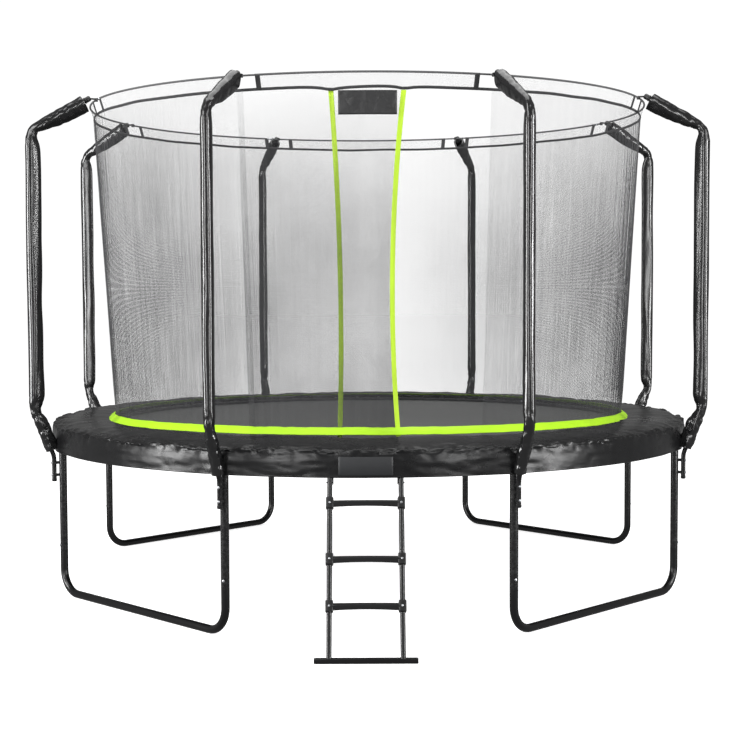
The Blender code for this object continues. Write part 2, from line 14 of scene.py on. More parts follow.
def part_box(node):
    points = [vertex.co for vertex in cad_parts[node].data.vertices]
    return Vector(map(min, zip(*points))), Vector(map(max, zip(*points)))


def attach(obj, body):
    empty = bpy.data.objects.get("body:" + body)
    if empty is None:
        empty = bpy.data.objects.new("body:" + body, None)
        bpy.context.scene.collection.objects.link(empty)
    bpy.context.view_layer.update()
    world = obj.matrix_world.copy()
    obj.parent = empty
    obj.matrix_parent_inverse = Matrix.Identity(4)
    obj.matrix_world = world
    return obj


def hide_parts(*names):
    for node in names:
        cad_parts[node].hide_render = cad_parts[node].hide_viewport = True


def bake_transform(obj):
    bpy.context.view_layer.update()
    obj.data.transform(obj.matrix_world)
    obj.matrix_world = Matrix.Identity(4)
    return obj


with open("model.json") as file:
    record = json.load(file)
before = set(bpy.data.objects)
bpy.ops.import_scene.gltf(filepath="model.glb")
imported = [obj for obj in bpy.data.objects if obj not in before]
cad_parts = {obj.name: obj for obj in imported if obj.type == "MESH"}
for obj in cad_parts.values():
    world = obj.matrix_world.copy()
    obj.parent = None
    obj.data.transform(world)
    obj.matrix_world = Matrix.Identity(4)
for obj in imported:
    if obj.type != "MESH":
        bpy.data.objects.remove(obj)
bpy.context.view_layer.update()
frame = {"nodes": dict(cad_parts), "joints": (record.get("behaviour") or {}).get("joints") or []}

bl_info = {
    "name": "Backyard trampoline",
    "version": (1, 0, 0),
    "blender": (4, 5, 0),
    "location": "3D View > Sidebar > Trampoline",
    "description": "Models the visible pieces of a trampoline round its frame",
    "category": "Object",
}

POLES = 8
STATION = 360.0 / POLES  # degrees from one pole to the next
FIRST_POLE = STATION / 2
SPRINGS = 72
WELD = 1e-5


def box_middle(node):
    low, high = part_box(node)
    return (low + high) / 2


def box_size(node):
    low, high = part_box(node)
    return high - low


AXIS = Vector((box_middle("jump_mat").x, box_middle("jump_mat").y, 0))
MAT_RADIUS = box_size("jump_mat").x / 2
MAT_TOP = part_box("jump_mat")[1].z
FRAME_RADIUS = (box_middle("leg_post_1") - AXIS).to_2d().length
FRAME_HEIGHT = MAT_TOP - 0.018  # the tube's centre lies this far below the mat
FRAME_TUBE = 0.021
HOOP_ROD = 0.005
PAD_OUTER = box_size("safety_pad").x / 2
PAD_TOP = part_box("safety_pad")[1].z
SKIRT_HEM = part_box("safety_pad")[0].z
HOOP_HEIGHT = box_middle("top_hoop").z
HOOP_RADIUS = box_size("top_hoop").x / 2 - HOOP_ROD
NET_FOOT, NET_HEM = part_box("net_wall")[0].z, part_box("net_wall")[1].z
LEG_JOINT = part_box("leg_post_1")[0].z
GROUND_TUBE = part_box("leg_base_1")[0].z


# ---- modelling helpers ---------------------------------------------------------------------


def clear_selection():
    if bpy.context.object and bpy.context.object.mode != "OBJECT":
        bpy.ops.object.mode_set(mode="OBJECT")
    bpy.ops.object.select_all(action="DESELECT")


def edit_all():
    bpy.ops.object.mode_set(mode="EDIT")
    bpy.ops.mesh.select_all(action="SELECT")


def name_piece(piece, name):
    piece.name = name
    piece.data.name = name
    return piece


def close_piece(name, smooth=40.0):
    """Ends the modelling of the active mesh: one place, outward faces, smooth shading."""
    if bpy.context.object.mode == "OBJECT":
        bpy.ops.object.mode_set(mode="EDIT")
    bpy.ops.mesh.select_all(action="SELECT")
    bpy.ops.mesh.remove_doubles(threshold=WELD)
    bpy.ops.mesh.normals_make_consistent(inside=False)
    bpy.ops.object.mode_set(mode="OBJECT")
    bpy.ops.object.transform_apply(location=True, rotation=True, scale=True)
    bpy.ops.object.shade_smooth_by_angle(angle=radians(smooth))
    return name_piece(bpy.context.object, name)


def apply_modifier(piece, kind, **settings):
    modifier = piece.modifiers.new(kind.lower(), kind)
    for setting, value in settings.items():
        setattr(modifier, setting, value)
    bpy.context.view_layer.objects.active = piece
    bpy.ops.object.modifier_apply(modifier=modifier.name)


def join(name, pieces):
    clear_selection()
    for piece in pieces:
        piece.select_set(True)
    bpy.context.view_layer.objects.active = pieces[0]
    if len(pieces) > 1:
        bpy.ops.object.join()
    return name_piece(bpy.context.object, name)


def place_on_ring(piece, azimuth):
    """Turns a piece modelled at azimuth 0 about the origin to its place round the ring."""
    piece.data.transform(Matrix.Translation(AXIS) @ Matrix.Rotation(radians(azimuth), 4, "Z"))
    return piece


def copy_piece(piece, name):
    copied = piece.copy()
    copied.data = piece.data.copy()
    bpy.context.collection.objects.link(copied)
    return name_piece(copied, name)


def round_the_ring(piece, names, azimuths):
    """One copy of the piece for each name and azimuth. The modelled one is used up."""
    copies = [place_on_ring(copy_piece(piece, n), a) for n, a in zip(names, azimuths)]
    bpy.data.objects.remove(piece, do_unlink=True)
    return copies


def station_names(label):
    return [f"{label}_{number}" for number in range(1, POLES + 1)]


def pole_azimuths():
    return [FIRST_POLE + STATION * number for number in range(POLES)]


def out(radius, height, side=0.0):
    """A point at azimuth 0: radius out from the axis, side towards +X."""
    return Vector((side, -radius, height))


def bent_tube(name, radius, corners, bends=(), wall=0.0, ring_gap=None, sides=24):
    """A round tube through corners, rounded by bends, with rings every ring_gap if given."""
    corners = [Vector(corner) for corner in corners]
    heading = (corners[1] - corners[0]).normalized()
    clear_selection()
    bpy.ops.mesh.primitive_circle_add(
        vertices=sides,
        radius=radius,
        location=corners[0],
        rotation=heading.to_track_quat("Z", "Y").to_euler(),
    )
    edit_all()
    here = corners[0]

    def extrude_to(point):
        steps = max(1, ceil((point - here).length / ring_gap)) if ring_gap else 1
        for _ in range(steps):
            bpy.ops.mesh.extrude_region_move(
                TRANSFORM_OT_translate={"value": (point - here) / steps}
            )

    for corner, following, bend in zip(corners[1:], corners[2:], bends):
        onward = (following - corner).normalized()
        turn = heading.angle(onward)
        reach = bend * tan(turn / 2)
        extrude_to(corner - heading * reach)
        axis = heading.cross(onward).normalized()
        centre = corner - heading * reach + axis.cross(heading) * bend
        steps = ceil(degrees(turn) / 7.5)
        if ring_gap:
            steps = max(steps, ceil(turn * bend / ring_gap))
        bpy.ops.mesh.spin(steps=steps, angle=-turn, center=centre, axis=axis)
        here = corner + onward * reach
        heading = onward
    extrude_to(corners[-1])
    piece = close_piece(name)
    if wall:
        apply_modifier(piece, "SOLIDIFY", thickness=wall, offset=-1.0)
        bpy.ops.object.shade_smooth_by_angle(angle=radians(40))
    return piece


def turned(name, profile, steps, closed=True, start=0.0, sweep=360.0):
    """A profile of (radius, height) points, spun about the axis from azimuth start by sweep."""
    clear_selection()
    first = out(*profile[0])
    bpy.ops.mesh.primitive_plane_add(size=0.1, location=first)
    edit_all()
    bpy.ops.mesh.merge(type="CENTER")
    here = first
    for point in profile[1:]:
        following = out(*point)
        bpy.ops.mesh.extrude_vertices_move(TRANSFORM_OT_translate={"value": following - here})
        here = following
    bpy.ops.mesh.select_all(action="SELECT")
    if closed:
        bpy.ops.mesh.edge_face_add()
        bpy.ops.mesh.delete(type="ONLY_FACE")
        bpy.ops.mesh.select_all(action="SELECT")
    bpy.ops.mesh.spin(steps=steps, angle=-radians(sweep), center=(0, 0, 0), axis=(0, 0, 1))
    piece = close_piece(name)
    return place_on_ring(piece, start)


def turned_rod(name, radius, height, thickness, steps, start=0.0, sweep=360.0, sides=10, tall=1.0):
    """A rod or rope that runs round the axis. tall stretches its section upwards."""
    turns = [2 * pi * side / sides for side in range(sides)]
    section = [
        (radius + thickness * cos(turn), height + tall * thickness * sin(turn)) for turn in turns
    ]
    return turned(name, section, steps, True, start, sweep)


def capped(piece):
    """Closes the open ends of a tube."""
    bpy.context.view_layer.objects.active = piece
    edit_all()
    bpy.ops.mesh.select_all(action="DESELECT")
    bpy.ops.mesh.select_non_manifold(extend=False)
    bpy.ops.mesh.edge_face_add()
    bpy.ops.mesh.select_all(action="SELECT")
    bpy.ops.mesh.normals_make_consistent(inside=False)
    bpy.ops.object.mode_set(mode="OBJECT")
    return piece


def knob(name, radius, base, heading, length, edge, sides=16):
    """A short round solid with a bevelled far rim, such as a cap, bolt head or spacer."""
    heading = Vector(heading).normalized()
    clear_selection()
    bpy.ops.mesh.primitive_circle_add(
        vertices=sides,
        radius=radius,
        fill_type="NGON",
        location=base,
        rotation=heading.to_track_quat("Z", "Y").to_euler(),
    )
    edit_all()
    bpy.ops.mesh.extrude_region_move(
        TRANSFORM_OT_translate={"value": heading * (length - edge)}
    )
    bpy.ops.mesh.extrude_region_move(TRANSFORM_OT_translate={"value": heading * edge})
    bpy.ops.transform.resize(value=(1 - edge / radius,) * 3)
    return close_piece(name, 50.0)


def block(name, size, middle, edge, segments=2):
    """A rounded block: a cube given its size, then bevelled all round."""
    clear_selection()
    bpy.ops.mesh.primitive_cube_add(size=1.0, location=middle)
    edit_all()
    bpy.ops.transform.resize(value=size)
    bpy.ops.mesh.bevel(offset=edge, segments=segments, affect="EDGES")
    return close_piece(name, 50.0)


def ring_place(point):
    """(azimuth in radians, radius, height) of a point in the finished model."""
    local = point - AXIS
    return atan2(local.x, -local.y), local.to_2d().length, point.z


def from_ring(azimuth, radius, height):
    return AXIS + Vector((radius * sin(azimuth), -radius * cos(azimuth), height))


def on_circle(azimuth, radius=1.0):
    """A place to read noise at, which comes back to its start after a full turn."""
    return Vector((cos(azimuth), sin(azimuth), 0.0)) * radius


def reshape(piece, rule):
    """Moves each vertex to rule(azimuth, radius, height), all in the ring's own measures."""
    for vertex in piece.data.vertices:
        vertex.co = from_ring(*rule(*ring_place(vertex.co)))
    piece.data.update()
    return piece


def cloth_map(piece, radius):
    """A UV map in metres: length round the ring, and height."""
    while piece.data.uv_layers:
        piece.data.uv_layers.remove(piece.data.uv_layers[0])
    layer = piece.data.uv_layers.new(name="cloth").data
    places = [ring_place(vertex.co) for vertex in piece.data.vertices]
    for face in piece.data.polygons:
        first = places[face.vertices[0]][0]
        for loop, vertex in zip(face.loop_indices, face.vertices):
            azimuth, _, height = places[vertex]
            if azimuth - first > pi:
                azimuth -= 2 * pi
            elif first - azimuth > pi:
                azimuth += 2 * pi
            layer[loop].uv = (azimuth * radius, height)


def smooth_step(low, high, value):
    share = min(1.0, max(0.0, (value - low) / (high - low)))
    return share * share * (3 - 2 * share)


def crumple(point, scale, depth):
    """Ridged noise, like the creases of a crumpled cover: 0 in the flats, depth at a ridge."""
    ridge = 1.0 - abs(noise.noise(point * scale)) * 2.2
    finer = 1.0 - abs(noise.noise(point * scale * 2.3 + Vector((7.1, 3.3, 1.9)))) * 2.2
    return depth * (0.65 * max(0.0, ridge) ** 2 + 0.35 * max(0.0, finer) ** 2)


# ---- materials -----------------------------------------------------------------------------

COLOUR_A, COLOUR_B, COLOUR_RESULT = 6, 7, 2  # the mix node's sockets for colours
DARK_DUST = (0.36, 0.35, 0.33, 1)
PALE_DUST = (0.42, 0.40, 0.37, 1)
SCUFF_COLOUR = (0.28, 0.28, 0.28, 1)


def feed(tree, node, values):
    """Sets each of the node's inputs to a number or colour, or links it to another's output."""
    for socket, value in values.items():
        if isinstance(value, bpy.types.NodeSocket):
            tree.links.new(value, node.inputs[socket])
        else:
            node.inputs[socket].default_value = value


def add_node(tree, kind, values=None, **settings):
    made = tree.nodes.new(kind)
    for setting, value in settings.items():
        setattr(made, setting, value)
    feed(tree, made, values or {})
    return made


def maths(tree, operation, first, second=0.0, clamp=False):
    made = add_node(
        tree, "ShaderNodeMath", {0: first, 1: second}, operation=operation, use_clamp=clamp
    )
    return made.outputs[0]


def noise_texture(tree, place, scale, detail=2.0, roughness=0.5):
    values = {"Vector": place, "Scale": scale, "Detail": detail, "Roughness": roughness}
    return add_node(tree, "ShaderNodeTexNoise", values).outputs


def ramp(tree, value, start, end, low=0.0, high=1.0):
    """Rescales a value that runs from start to end, so that it runs from low to high."""
    values = {"Value": value, "From Min": start, "From Max": end, "To Min": low, "To Max": high}
    return add_node(tree, "ShaderNodeMapRange", values).outputs["Result"]


def between(tree, factor, low, high):
    """The number that lies at factor, from low at 0 to high at 1."""
    values = {"Factor": factor, "A": low, "B": high}
    return add_node(tree, "ShaderNodeMix", values, data_type="FLOAT").outputs["Result"]


def scaled(tree, vector, factor):
    values = {0: vector, "Scale": factor}
    return add_node(tree, "ShaderNodeVectorMath", values, operation="SCALE").outputs["Vector"]


def new_group(name, inputs, outputs):
    """A group of nodes. Its vector and colour sockets are known by name, the others are numbers."""
    group = bpy.data.node_groups.new(name, "ShaderNodeTree")
    kinds = {"Vector": "NodeSocketVector", "Colour": "NodeSocketColor"}
    for label, value in inputs.items():
        kind = kinds.get(label, "NodeSocketFloat")
        socket = group.interface.new_socket(label, in_out="INPUT", socket_type=kind)
        if value is not None:
            socket.default_value = value
    for label in outputs:
        kind = kinds.get(label, "NodeSocketFloat")
        group.interface.new_socket(label, in_out="OUTPUT", socket_type=kind)
    return group, group.nodes.new("NodeGroupInput"), group.nodes.new("NodeGroupOutput")


def make_variation_group():
    """Slow changes of colour and roughness, with a fine grain for the bump."""
    group, given, ends = new_group(
        "surface_variation",
        {
            "Vector": None, "Colour": (0.5, 0.5, 0.5, 1), "Shade": 0.8, "Roughness": 0.4,
            "Spread": 0.1, "Patch Scale": 6.0, "Grain Scale": 900.0,
        },
        ["Colour", "Roughness", "Height"],
    )
    place, source = given.outputs["Vector"], given.outputs
    patches = noise_texture(group, place, source["Patch Scale"], 4.0, 0.6)["Fac"]
    grain = noise_texture(group, place, source["Grain Scale"])["Fac"]
    shade = between(group, patches, source["Shade"], 1.0)
    colour = scaled(group, source["Colour"], shade)
    offset = maths(group, "MULTIPLY", maths(group, "SUBTRACT", patches, 0.5), source["Spread"])
    roughness = maths(group, "ADD", source["Roughness"], offset, clamp=True)
    feed(group, ends, {"Colour": colour, "Roughness": roughness, "Height": grain})
    return group


def make_wear_group():
    """Mask of scuffs that gather on outer edges and corners."""
    group, given, ends = new_group(
        "edge_wear",
        {"Vector": None, "Amount": 0.3},
        ["Mask"],
    )
    pointiness = add_node(group, "ShaderNodeNewGeometry").outputs["Pointiness"]
    edges = ramp(group, pointiness, 0.57, 0.68)
    scuffs = noise_texture(group, given.outputs["Vector"], 60.0, 6.0, 0.7)["Fac"]
    torn = ramp(group, scuffs, 0.45, 0.65)
    mask = maths(group, "MULTIPLY", maths(group, "MULTIPLY", edges, torn), given.outputs["Amount"])
    feed(group, ends, {"Mask": mask})
    return group


def make_dust_group():
    """Mask of a light dust that settles on faces that look up."""
    group, given, ends = new_group(
        "settled_dust",
        {"Vector": None, "Amount": 0.2},
        ["Mask"],
    )
    normal = add_node(group, "ShaderNodeNewGeometry").outputs["Normal"]
    up = add_node(group, "ShaderNodeSeparateXYZ", {0: normal}).outputs["Z"]
    facing = ramp(group, up, 0.2, 1.0)
    drift = noise_texture(group, given.outputs["Vector"], 9.0, 7.0, 0.65)["Fac"]
    mask = maths(group, "MULTIPLY", maths(group, "MULTIPLY", facing, drift), given.outputs["Amount"])
    feed(group, ends, {"Mask": mask})
    return group


def make_weave_group():
    """Plain weave: height of the crossing threads, and how much of the cloth they cover."""
    group, given, ends = new_group(
        "plain_weave",
        {"Vector": None, "Threads": 400.0, "Thread Share": 0.5},
        ["Height", "Cover"],
    )
    counted = scaled(group, given.outputs["Vector"], given.outputs["Threads"])
    parts = add_node(group, "ShaderNodeSeparateXYZ", {0: counted}).outputs
    reach = maths(group, "MULTIPLY", given.outputs["Thread Share"], 0.5)
    across, along = parts["X"], parts["Y"]
    ridges, covers = [], []
    for thread, crossing in ((across, along), (along, across)):
        middle = maths(group, "ABSOLUTE", maths(group, "SUBTRACT", maths(group, "FRACT", thread), 0.5))
        covers.append(maths(group, "LESS_THAN", middle, reach))
        wave = maths(group, "COSINE", maths(group, "MULTIPLY", crossing, pi))
        ridges.append(maths(group, "MULTIPLY", maths(group, "SUBTRACT", 0.5, middle), wave))
    height = maths(group, "MAXIMUM", ridges[0], ridges[1])
    cover = maths(group, "MAXIMUM", covers[0], covers[1])
    feed(group, ends, {"Height": height, "Cover": cover})
    return group


def make_crease_group():
    """Fine pressed creases of coated cloth that was folded in its box."""
    group, given, ends = new_group(
        "pressed_creases",
        {"Vector": None, "Scale": 12.0},
        ["Height", "Mask"],
    )
    place, scale = given.outputs["Vector"], given.outputs["Scale"]
    bend = scaled(group, noise_texture(group, place, 4.0, 3.0)["Color"], 0.12)
    warped = add_node(
        group, "ShaderNodeVectorMath", {0: place, 1: bend}, operation="ADD"
    ).outputs["Vector"]
    facets = add_node(
        group,
        "ShaderNodeTexVoronoi",
        {"Vector": warped, "Scale": scale},
        feature="DISTANCE_TO_EDGE",
    ).outputs["Distance"]
    creases = ramp(group, facets, 0.0, 0.12)
    slopes = noise_texture(group, warped, maths(group, "MULTIPLY", scale, 2.0), 3.0)["Fac"]
    height = maths(group, "ADD", maths(group, "MULTIPLY", creases, 0.4), slopes)
    feed(group, ends, {"Height": height, "Mask": creases})
    return group


GROUPS = {}


def use_group(tree, name, values):
    return add_node(tree, "ShaderNodeGroup", values, node_tree=GROUPS[name]).outputs


def new_material(name):
    material = bpy.data.materials.new(name)
    material.use_nodes = True
    tree = material.node_tree
    return material, tree, tree.nodes["Principled BSDF"]


def mixed(tree, factor, first, second):
    values = {"Factor": factor, COLOUR_A: first, COLOUR_B: second}
    made = add_node(tree, "ShaderNodeMix", values, data_type="RGBA")
    return made.outputs[COLOUR_RESULT]


def bumped(tree, height, strength, distance, under=None):
    """The normal of a bump. under is the normal of a coarser bump that it lies on."""
    values = {"Height": height, "Strength": strength, "Distance": distance}
    if under is not None:
        values["Normal"] = under
    return add_node(tree, "ShaderNodeBump", values).outputs["Normal"]


def hard_finish(
    name, colour, roughness, grain, bump, metallic=0.0, wear=0.4, dust=0.06,
):
    """A coated, plated or moulded surface with grain, worn edges and a little dust."""
    material, tree, shader = new_material(name)
    place = add_node(tree, "ShaderNodeTexCoord").outputs["Object"]
    base = use_group(
        tree,
        "surface_variation",
        {
            "Vector": place, "Colour": (*colour, 1), "Shade": 0.8,
            "Roughness": roughness, "Spread": 0.16, "Grain Scale": grain,
        },
    )
    scuffs = use_group(tree, "edge_wear", {"Vector": place, "Amount": wear})["Mask"]
    settled = use_group(tree, "settled_dust", {"Vector": place, "Amount": dust})["Mask"]
    scuffed = mixed(tree, scuffs, base["Colour"], SCUFF_COLOUR)
    looks_like = {
        "Base Color": mixed(tree, settled, scuffed, PALE_DUST),
        "Roughness": maths(tree, "ADD", base["Roughness"], settled, True),
        "Normal": bumped(tree, base["Height"], bump, 0.001),
        "Metallic": metallic,
    }
    if not metallic:
        looks_like["Specular IOR Level"] = 0.4
    feed(tree, shader, looks_like)
    return material


def vinyl_finish(
    name, colour, roughness, crease_scale, crease, dust=0.05, weave=700.0, upright=1.0, gloss=0.4
):
    """Coated cloth: a glossy skin over a fine weave, with pressed creases, long ones if upright."""
    material, tree, shader = new_material(name)
    place = add_node(tree, "ShaderNodeTexCoord").outputs["Object"]
    stretched = add_node(
        tree, "ShaderNodeVectorMath", {0: place, 1: (1.0, 1.0, upright)}, operation="MULTIPLY"
    ).outputs["Vector"]
    base = use_group(
        tree,
        "surface_variation",
        {
            "Vector": place, "Colour": (*colour, 1), "Shade": 0.7,
            "Roughness": roughness, "Spread": 0.2, "Grain Scale": weave,
        },
    )
    folds = use_group(tree, "pressed_creases", {"Vector": stretched, "Scale": crease_scale})
    settled = use_group(tree, "settled_dust", {"Vector": place, "Amount": dust})["Mask"]
    coarse = bumped(tree, folds["Height"], crease, 0.006)
    feed(tree, shader, {
        "Base Color": mixed(tree, settled, base["Colour"], DARK_DUST),
        "Roughness": maths(tree, "ADD", base["Roughness"], settled, True),
        "Normal": bumped(tree, base["Height"], 0.15, 0.0006, coarse),
        "Specular IOR Level": gloss,
    })
    return material


FADE_HEIGHT = 0.8  # how far below the upper hem the net starts to get clearer


def thread_share(tree, place, share, gathered, fade):
    """Share of a mesh gap that a thread fills: more at the sides, less towards the upper hem."""
    parts = add_node(tree, "ShaderNodeSeparateXYZ", {0: place}).outputs
    aside = maths(tree, "ABSOLUTE", parts["X"])
    in_front, at_sides = share * (1 - gathered), share * (1 + gathered * 0.5)
    sideways = ramp(tree, aside, 0.0, NET_TOP_RADIUS, in_front, at_sides)
    upward = ramp(tree, parts["Z"], NET_HEM - FADE_HEIGHT, NET_HEM, 1.1, fade)
    drift = noise_texture(tree, place, 1.6, 5.0, 0.6)["Fac"]
    uneven = ramp(tree, drift, 0.3, 0.7, 0.78, 1.22)
    return maths(tree, "MULTIPLY", maths(tree, "MULTIPLY", sideways, upward), uneven)


def woven_finish(
    name, colour, threads, share, see_through, roughness=0.85, on_uv=True, gathered=0.0, fade=1.0
):
    """Woven or knitted cloth. With see_through, light passes between the threads."""
    material, tree, shader = new_material(name)
    source = add_node(tree, "ShaderNodeTexCoord").outputs
    place = source["UV"] if on_uv else source["Object"]
    base = use_group(
        tree,
        "surface_variation",
        {
            "Vector": source["Object"], "Colour": (*colour, 1), "Shade": 0.75,
            "Roughness": roughness, "Spread": 0.1, "Grain Scale": threads,
        },
    )
    if see_through:
        share = thread_share(tree, source["Object"], share, gathered, fade)
    weave = use_group(
        tree, "plain_weave", {"Vector": place, "Threads": threads, "Thread Share": share}
    )
    if see_through:
        feed(tree, shader, {"Alpha": weave["Cover"]})
    feed(tree, shader, {
        "Base Color": base["Colour"],
        "Roughness": base["Roughness"],
        "Normal": bumped(tree, weave["Height"], 0.35, 0.5 / threads),
        "Sheen Weight": 0.08,
    })
    return material


MATERIALS = {}


def make_materials(sizes):
    GROUPS.update(
        surface_variation=make_variation_group(),
        edge_wear=make_wear_group(),
        settled_dust=make_dust_group(),
        plain_weave=make_weave_group(),
        pressed_creases=make_crease_group(),
    )
    steel, vinyl = tuple(sizes.steel_colour), tuple(sizes.vinyl_colour)
    lime, net = tuple(sizes.edging_colour), tuple(sizes.net_colour)
    share = sizes.net_thread_share
    MATERIALS.update(
        steel=hard_finish("powder_coated_steel", steel, 0.24, 1400.0, 0.06, wear=0.15, dust=0.0),
        zinc=hard_finish("zinc_plated_steel", (0.5, 0.51, 0.53), 0.3, 600.0, 0.1, 1.0, dust=0.0),
        plastic=hard_finish("moulded_plastic", (0.009, 0.009, 0.0095), 0.36, 500.0, 0.2, 0.0, 0.2, 0.03),
        tread=hard_finish("step_plastic", (0.008, 0.008, 0.0085), 0.38, 500.0, 0.2, 0.0, 0.2, 0.02),
        rod=hard_finish("glass_fibre_rod", (0.10, 0.10, 0.104), 0.4, 800.0, 0.1, wear=0.0),
        sleeve=vinyl_finish("sleeve_vinyl", vinyl, 0.2, 10.0, 0.2, 0.0, upright=0.12, gloss=0.75),
        pad=vinyl_finish("pad_vinyl", vinyl, 0.28, 5.0, 0.07, dust=0.01, gloss=0.32),
        edging=vinyl_finish("edging_cloth", lime, 0.5, 20.0, 0.12, 0.02, 900.0),
        badge=vinyl_finish("badge_vinyl", (0.022, 0.023, 0.025), 0.5, 9.0, 0.1),
        net=woven_finish("net_mesh", net, 260.0, share, True, gathered=0.9, fade=0.5),
        # painted shade and light: the outer flap's threads are denser so it looks darker, like unlit
        # threads, and the inner flap's threads are sparser so it looks lighter, like lit threads
        outer_net=woven_finish("outer_flap_mesh_painted_shade", net, 260.0, share * 1.35, True, fade=0.12),
        inner_net=woven_finish("inner_flap_mesh_painted_light", net, 260.0, share * 0.15, True, fade=0.15),
        band=woven_finish("net_band_mesh", net, 260.0, share * 0.6, True, fade=0.5),
        strip=vinyl_finish("strip_cloth", (0.60, 0.92, 0.04), 0.5, 20.0, 0.12, 0.0, 900.0),
        patch=vinyl_finish("patch_vinyl", (0.03, 0.03, 0.031), 0.42, 16.0, 0.3, 0.0, 700.0),
        rim=woven_finish("rim_webbing", (0.10, 0.10, 0.103), 500.0, 0.8, False, on_uv=False),
        hem=woven_finish("hem_webbing", (0.03, 0.03, 0.032), 500.0, 0.8, False, on_uv=False),
        mat=woven_finish("woven_mat", tuple(sizes.mat_colour), 520.0, 0.9, False, 0.62, False),
        thread=woven_finish("stitching", (0.5, 0.5, 0.5), 900.0, 0.8, False, on_uv=False),
        spring=hard_finish("spring_steel", (0.55, 0.56, 0.58), 0.35, 700.0, 0.1, 1.0, wear=0.0),
    )


def dress(piece, material):
    piece.data.materials.clear()
    piece.data.materials.append(MATERIALS[material])
    return piece


def finish_piece(piece, material, body="root", node=None):
    """Gives a piece its material and its body, and the CAD node that it stands for, if any."""
    dress(piece, material)
    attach(piece, body)
    if node:
        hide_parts(node)


def finish_round(piece, label, material, node_ending=None):
    """Copies the piece to every pole. With an ending, each copy stands for the CAD's node."""
    names = station_names(label)
    labels = [name + node_ending for name in names] if node_ending else names
    for copied, name in zip(round_the_ring(piece, labels, pole_azimuths()), names):
        finish_piece(copied, material, node=name if node_ending else None)


# ---- sizes and colours a user would change -------------------------------------------------


def colour_setting(name, description, default):
    return bpy.props.FloatVectorProperty(
        name=name, description=description, default=default, subtype="COLOR", min=0.0, max=1.0
    )


def length_setting(name, description, default, low, high):
    return bpy.props.FloatProperty(
        name=name, description=description, default=default, min=low, max=high, unit="LENGTH"
    )


class TrampolineLooks(bpy.types.PropertyGroup):
    """Colours and cloth settings of the whole trampoline."""

    steel_colour: colour_setting("Steel", "Powder coat of the tubes", (0.006, 0.006, 0.0065))
    vinyl_colour: colour_setting("Vinyl", "Pad and sleeve covers", (0.0075, 0.0075, 0.008))
    edging_colour: colour_setting("Edging", "Edging of the pad", (0.43, 0.80, 0.010))
    net_colour: colour_setting("Net", "Threads of the net", (0.045, 0.045, 0.048))
    mat_colour: colour_setting("Mat", "Jumping mat", (0.062, 0.064, 0.062))
    net_thread_share: bpy.props.FloatProperty(
        name="Thread share", description="Width of a net thread as a share of the mesh gap",
        default=0.2, min=0.02, max=0.9,
    )
    pleat_gap: length_setting("Pleat gap", "From one pleat of the net to the next", 0.058, 0.02, 0.3)
    pleat_depth: length_setting("Pleat depth", "How far a pleat stands out", 0.0065, 0.0, 0.02)
    strip_width: length_setting("Strip width", "Green strips of the entrance", 0.025, 0.005, 0.06)


class TrampolineTubes(bpy.types.PropertyGroup):
    """Steel tubes, which follow the frame."""

    leg_wall: length_setting("Leg wall", "Wall of the leg tubes", 0.002, 0.001, 0.005)
    leg_bend: length_setting("Leg bend", "Bend radius of the leg bases", 0.125, 0.08, 0.2)
    pole_tube: length_setting("Pole tube", "Outer radius of the net poles", 0.0125, 0.01, 0.02)
    pole_bend: length_setting("Pole bend", "Bend radius above the frame", 0.09, 0.05, 0.3)
    shoulder_bend: length_setting("Shoulder bend", "Bend radius under the tip", 0.09, 0.05, 0.3)
    sleeve_radius: length_setting("Sleeve radius", "Padded sleeve with cover", 0.0275, 0.02, 0.04)


def looks():
    return bpy.context.scene.trampoline_looks


def tubes():
    return bpy.context.scene.trampoline_tubes


# ---- frame and legs ------------------------------------------------------------------------

NECK_PLAY = 0.0006  # between a narrowed end and the tube that it goes into
SOCKET_DEPTH = 0.09
RAIL_GAP = 0.06  # degrees between the ends of two rails


class ModelFrameRails(bpy.types.Operator):
    """Bends the eight rails of the top frame, with their leg sockets"""

    bl_idname = "trampoline.frame_rails"
    bl_label = "Frame Rails"

    def execute(self, context):
        socket = bent_tube(
            "socket",
            FRAME_TUBE + 0.0045,
            [out(FRAME_RADIUS, FRAME_HEIGHT - SOCKET_DEPTH), out(FRAME_RADIUS, FRAME_HEIGHT)],
            wall=0.0035,
        )
        start, sweep = (RAIL_GAP - STATION) / 2, STATION - RAIL_GAP
        rail = turned_rod("rail", FRAME_RADIUS, FRAME_HEIGHT, FRAME_TUBE, 18, start, sweep, 24)
        rail.data.transform(Matrix.Translation(-AXIS))
        capped(rail)
        bead = turned_rod("bead", FRAME_TUBE + 0.0035, FRAME_HEIGHT - 0.019, 0.0028, 24, sides=6)
        bead.data.transform(Matrix.Translation(Vector((0, -FRAME_RADIUS, 0)) - AXIS))
        rail = join("frame_rail", [rail, socket, bead])
        finish_round(rail, "frame_rail", "steel", "_tube")
        return {"FINISHED"}


class ModelLegPosts(bpy.types.Operator):
    """Makes the eight straight leg posts"""

    bl_idname = "trampoline.leg_posts"
    bl_label = "Leg Posts"

    def execute(self, context):
        ends = [out(FRAME_RADIUS, corner.z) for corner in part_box("leg_post_1")]
        post = bent_tube("post", FRAME_TUBE, ends, wall=tubes().leg_wall)
        finish_round(post, "leg_post", "steel", "_tube")
        return {"FINISHED"}


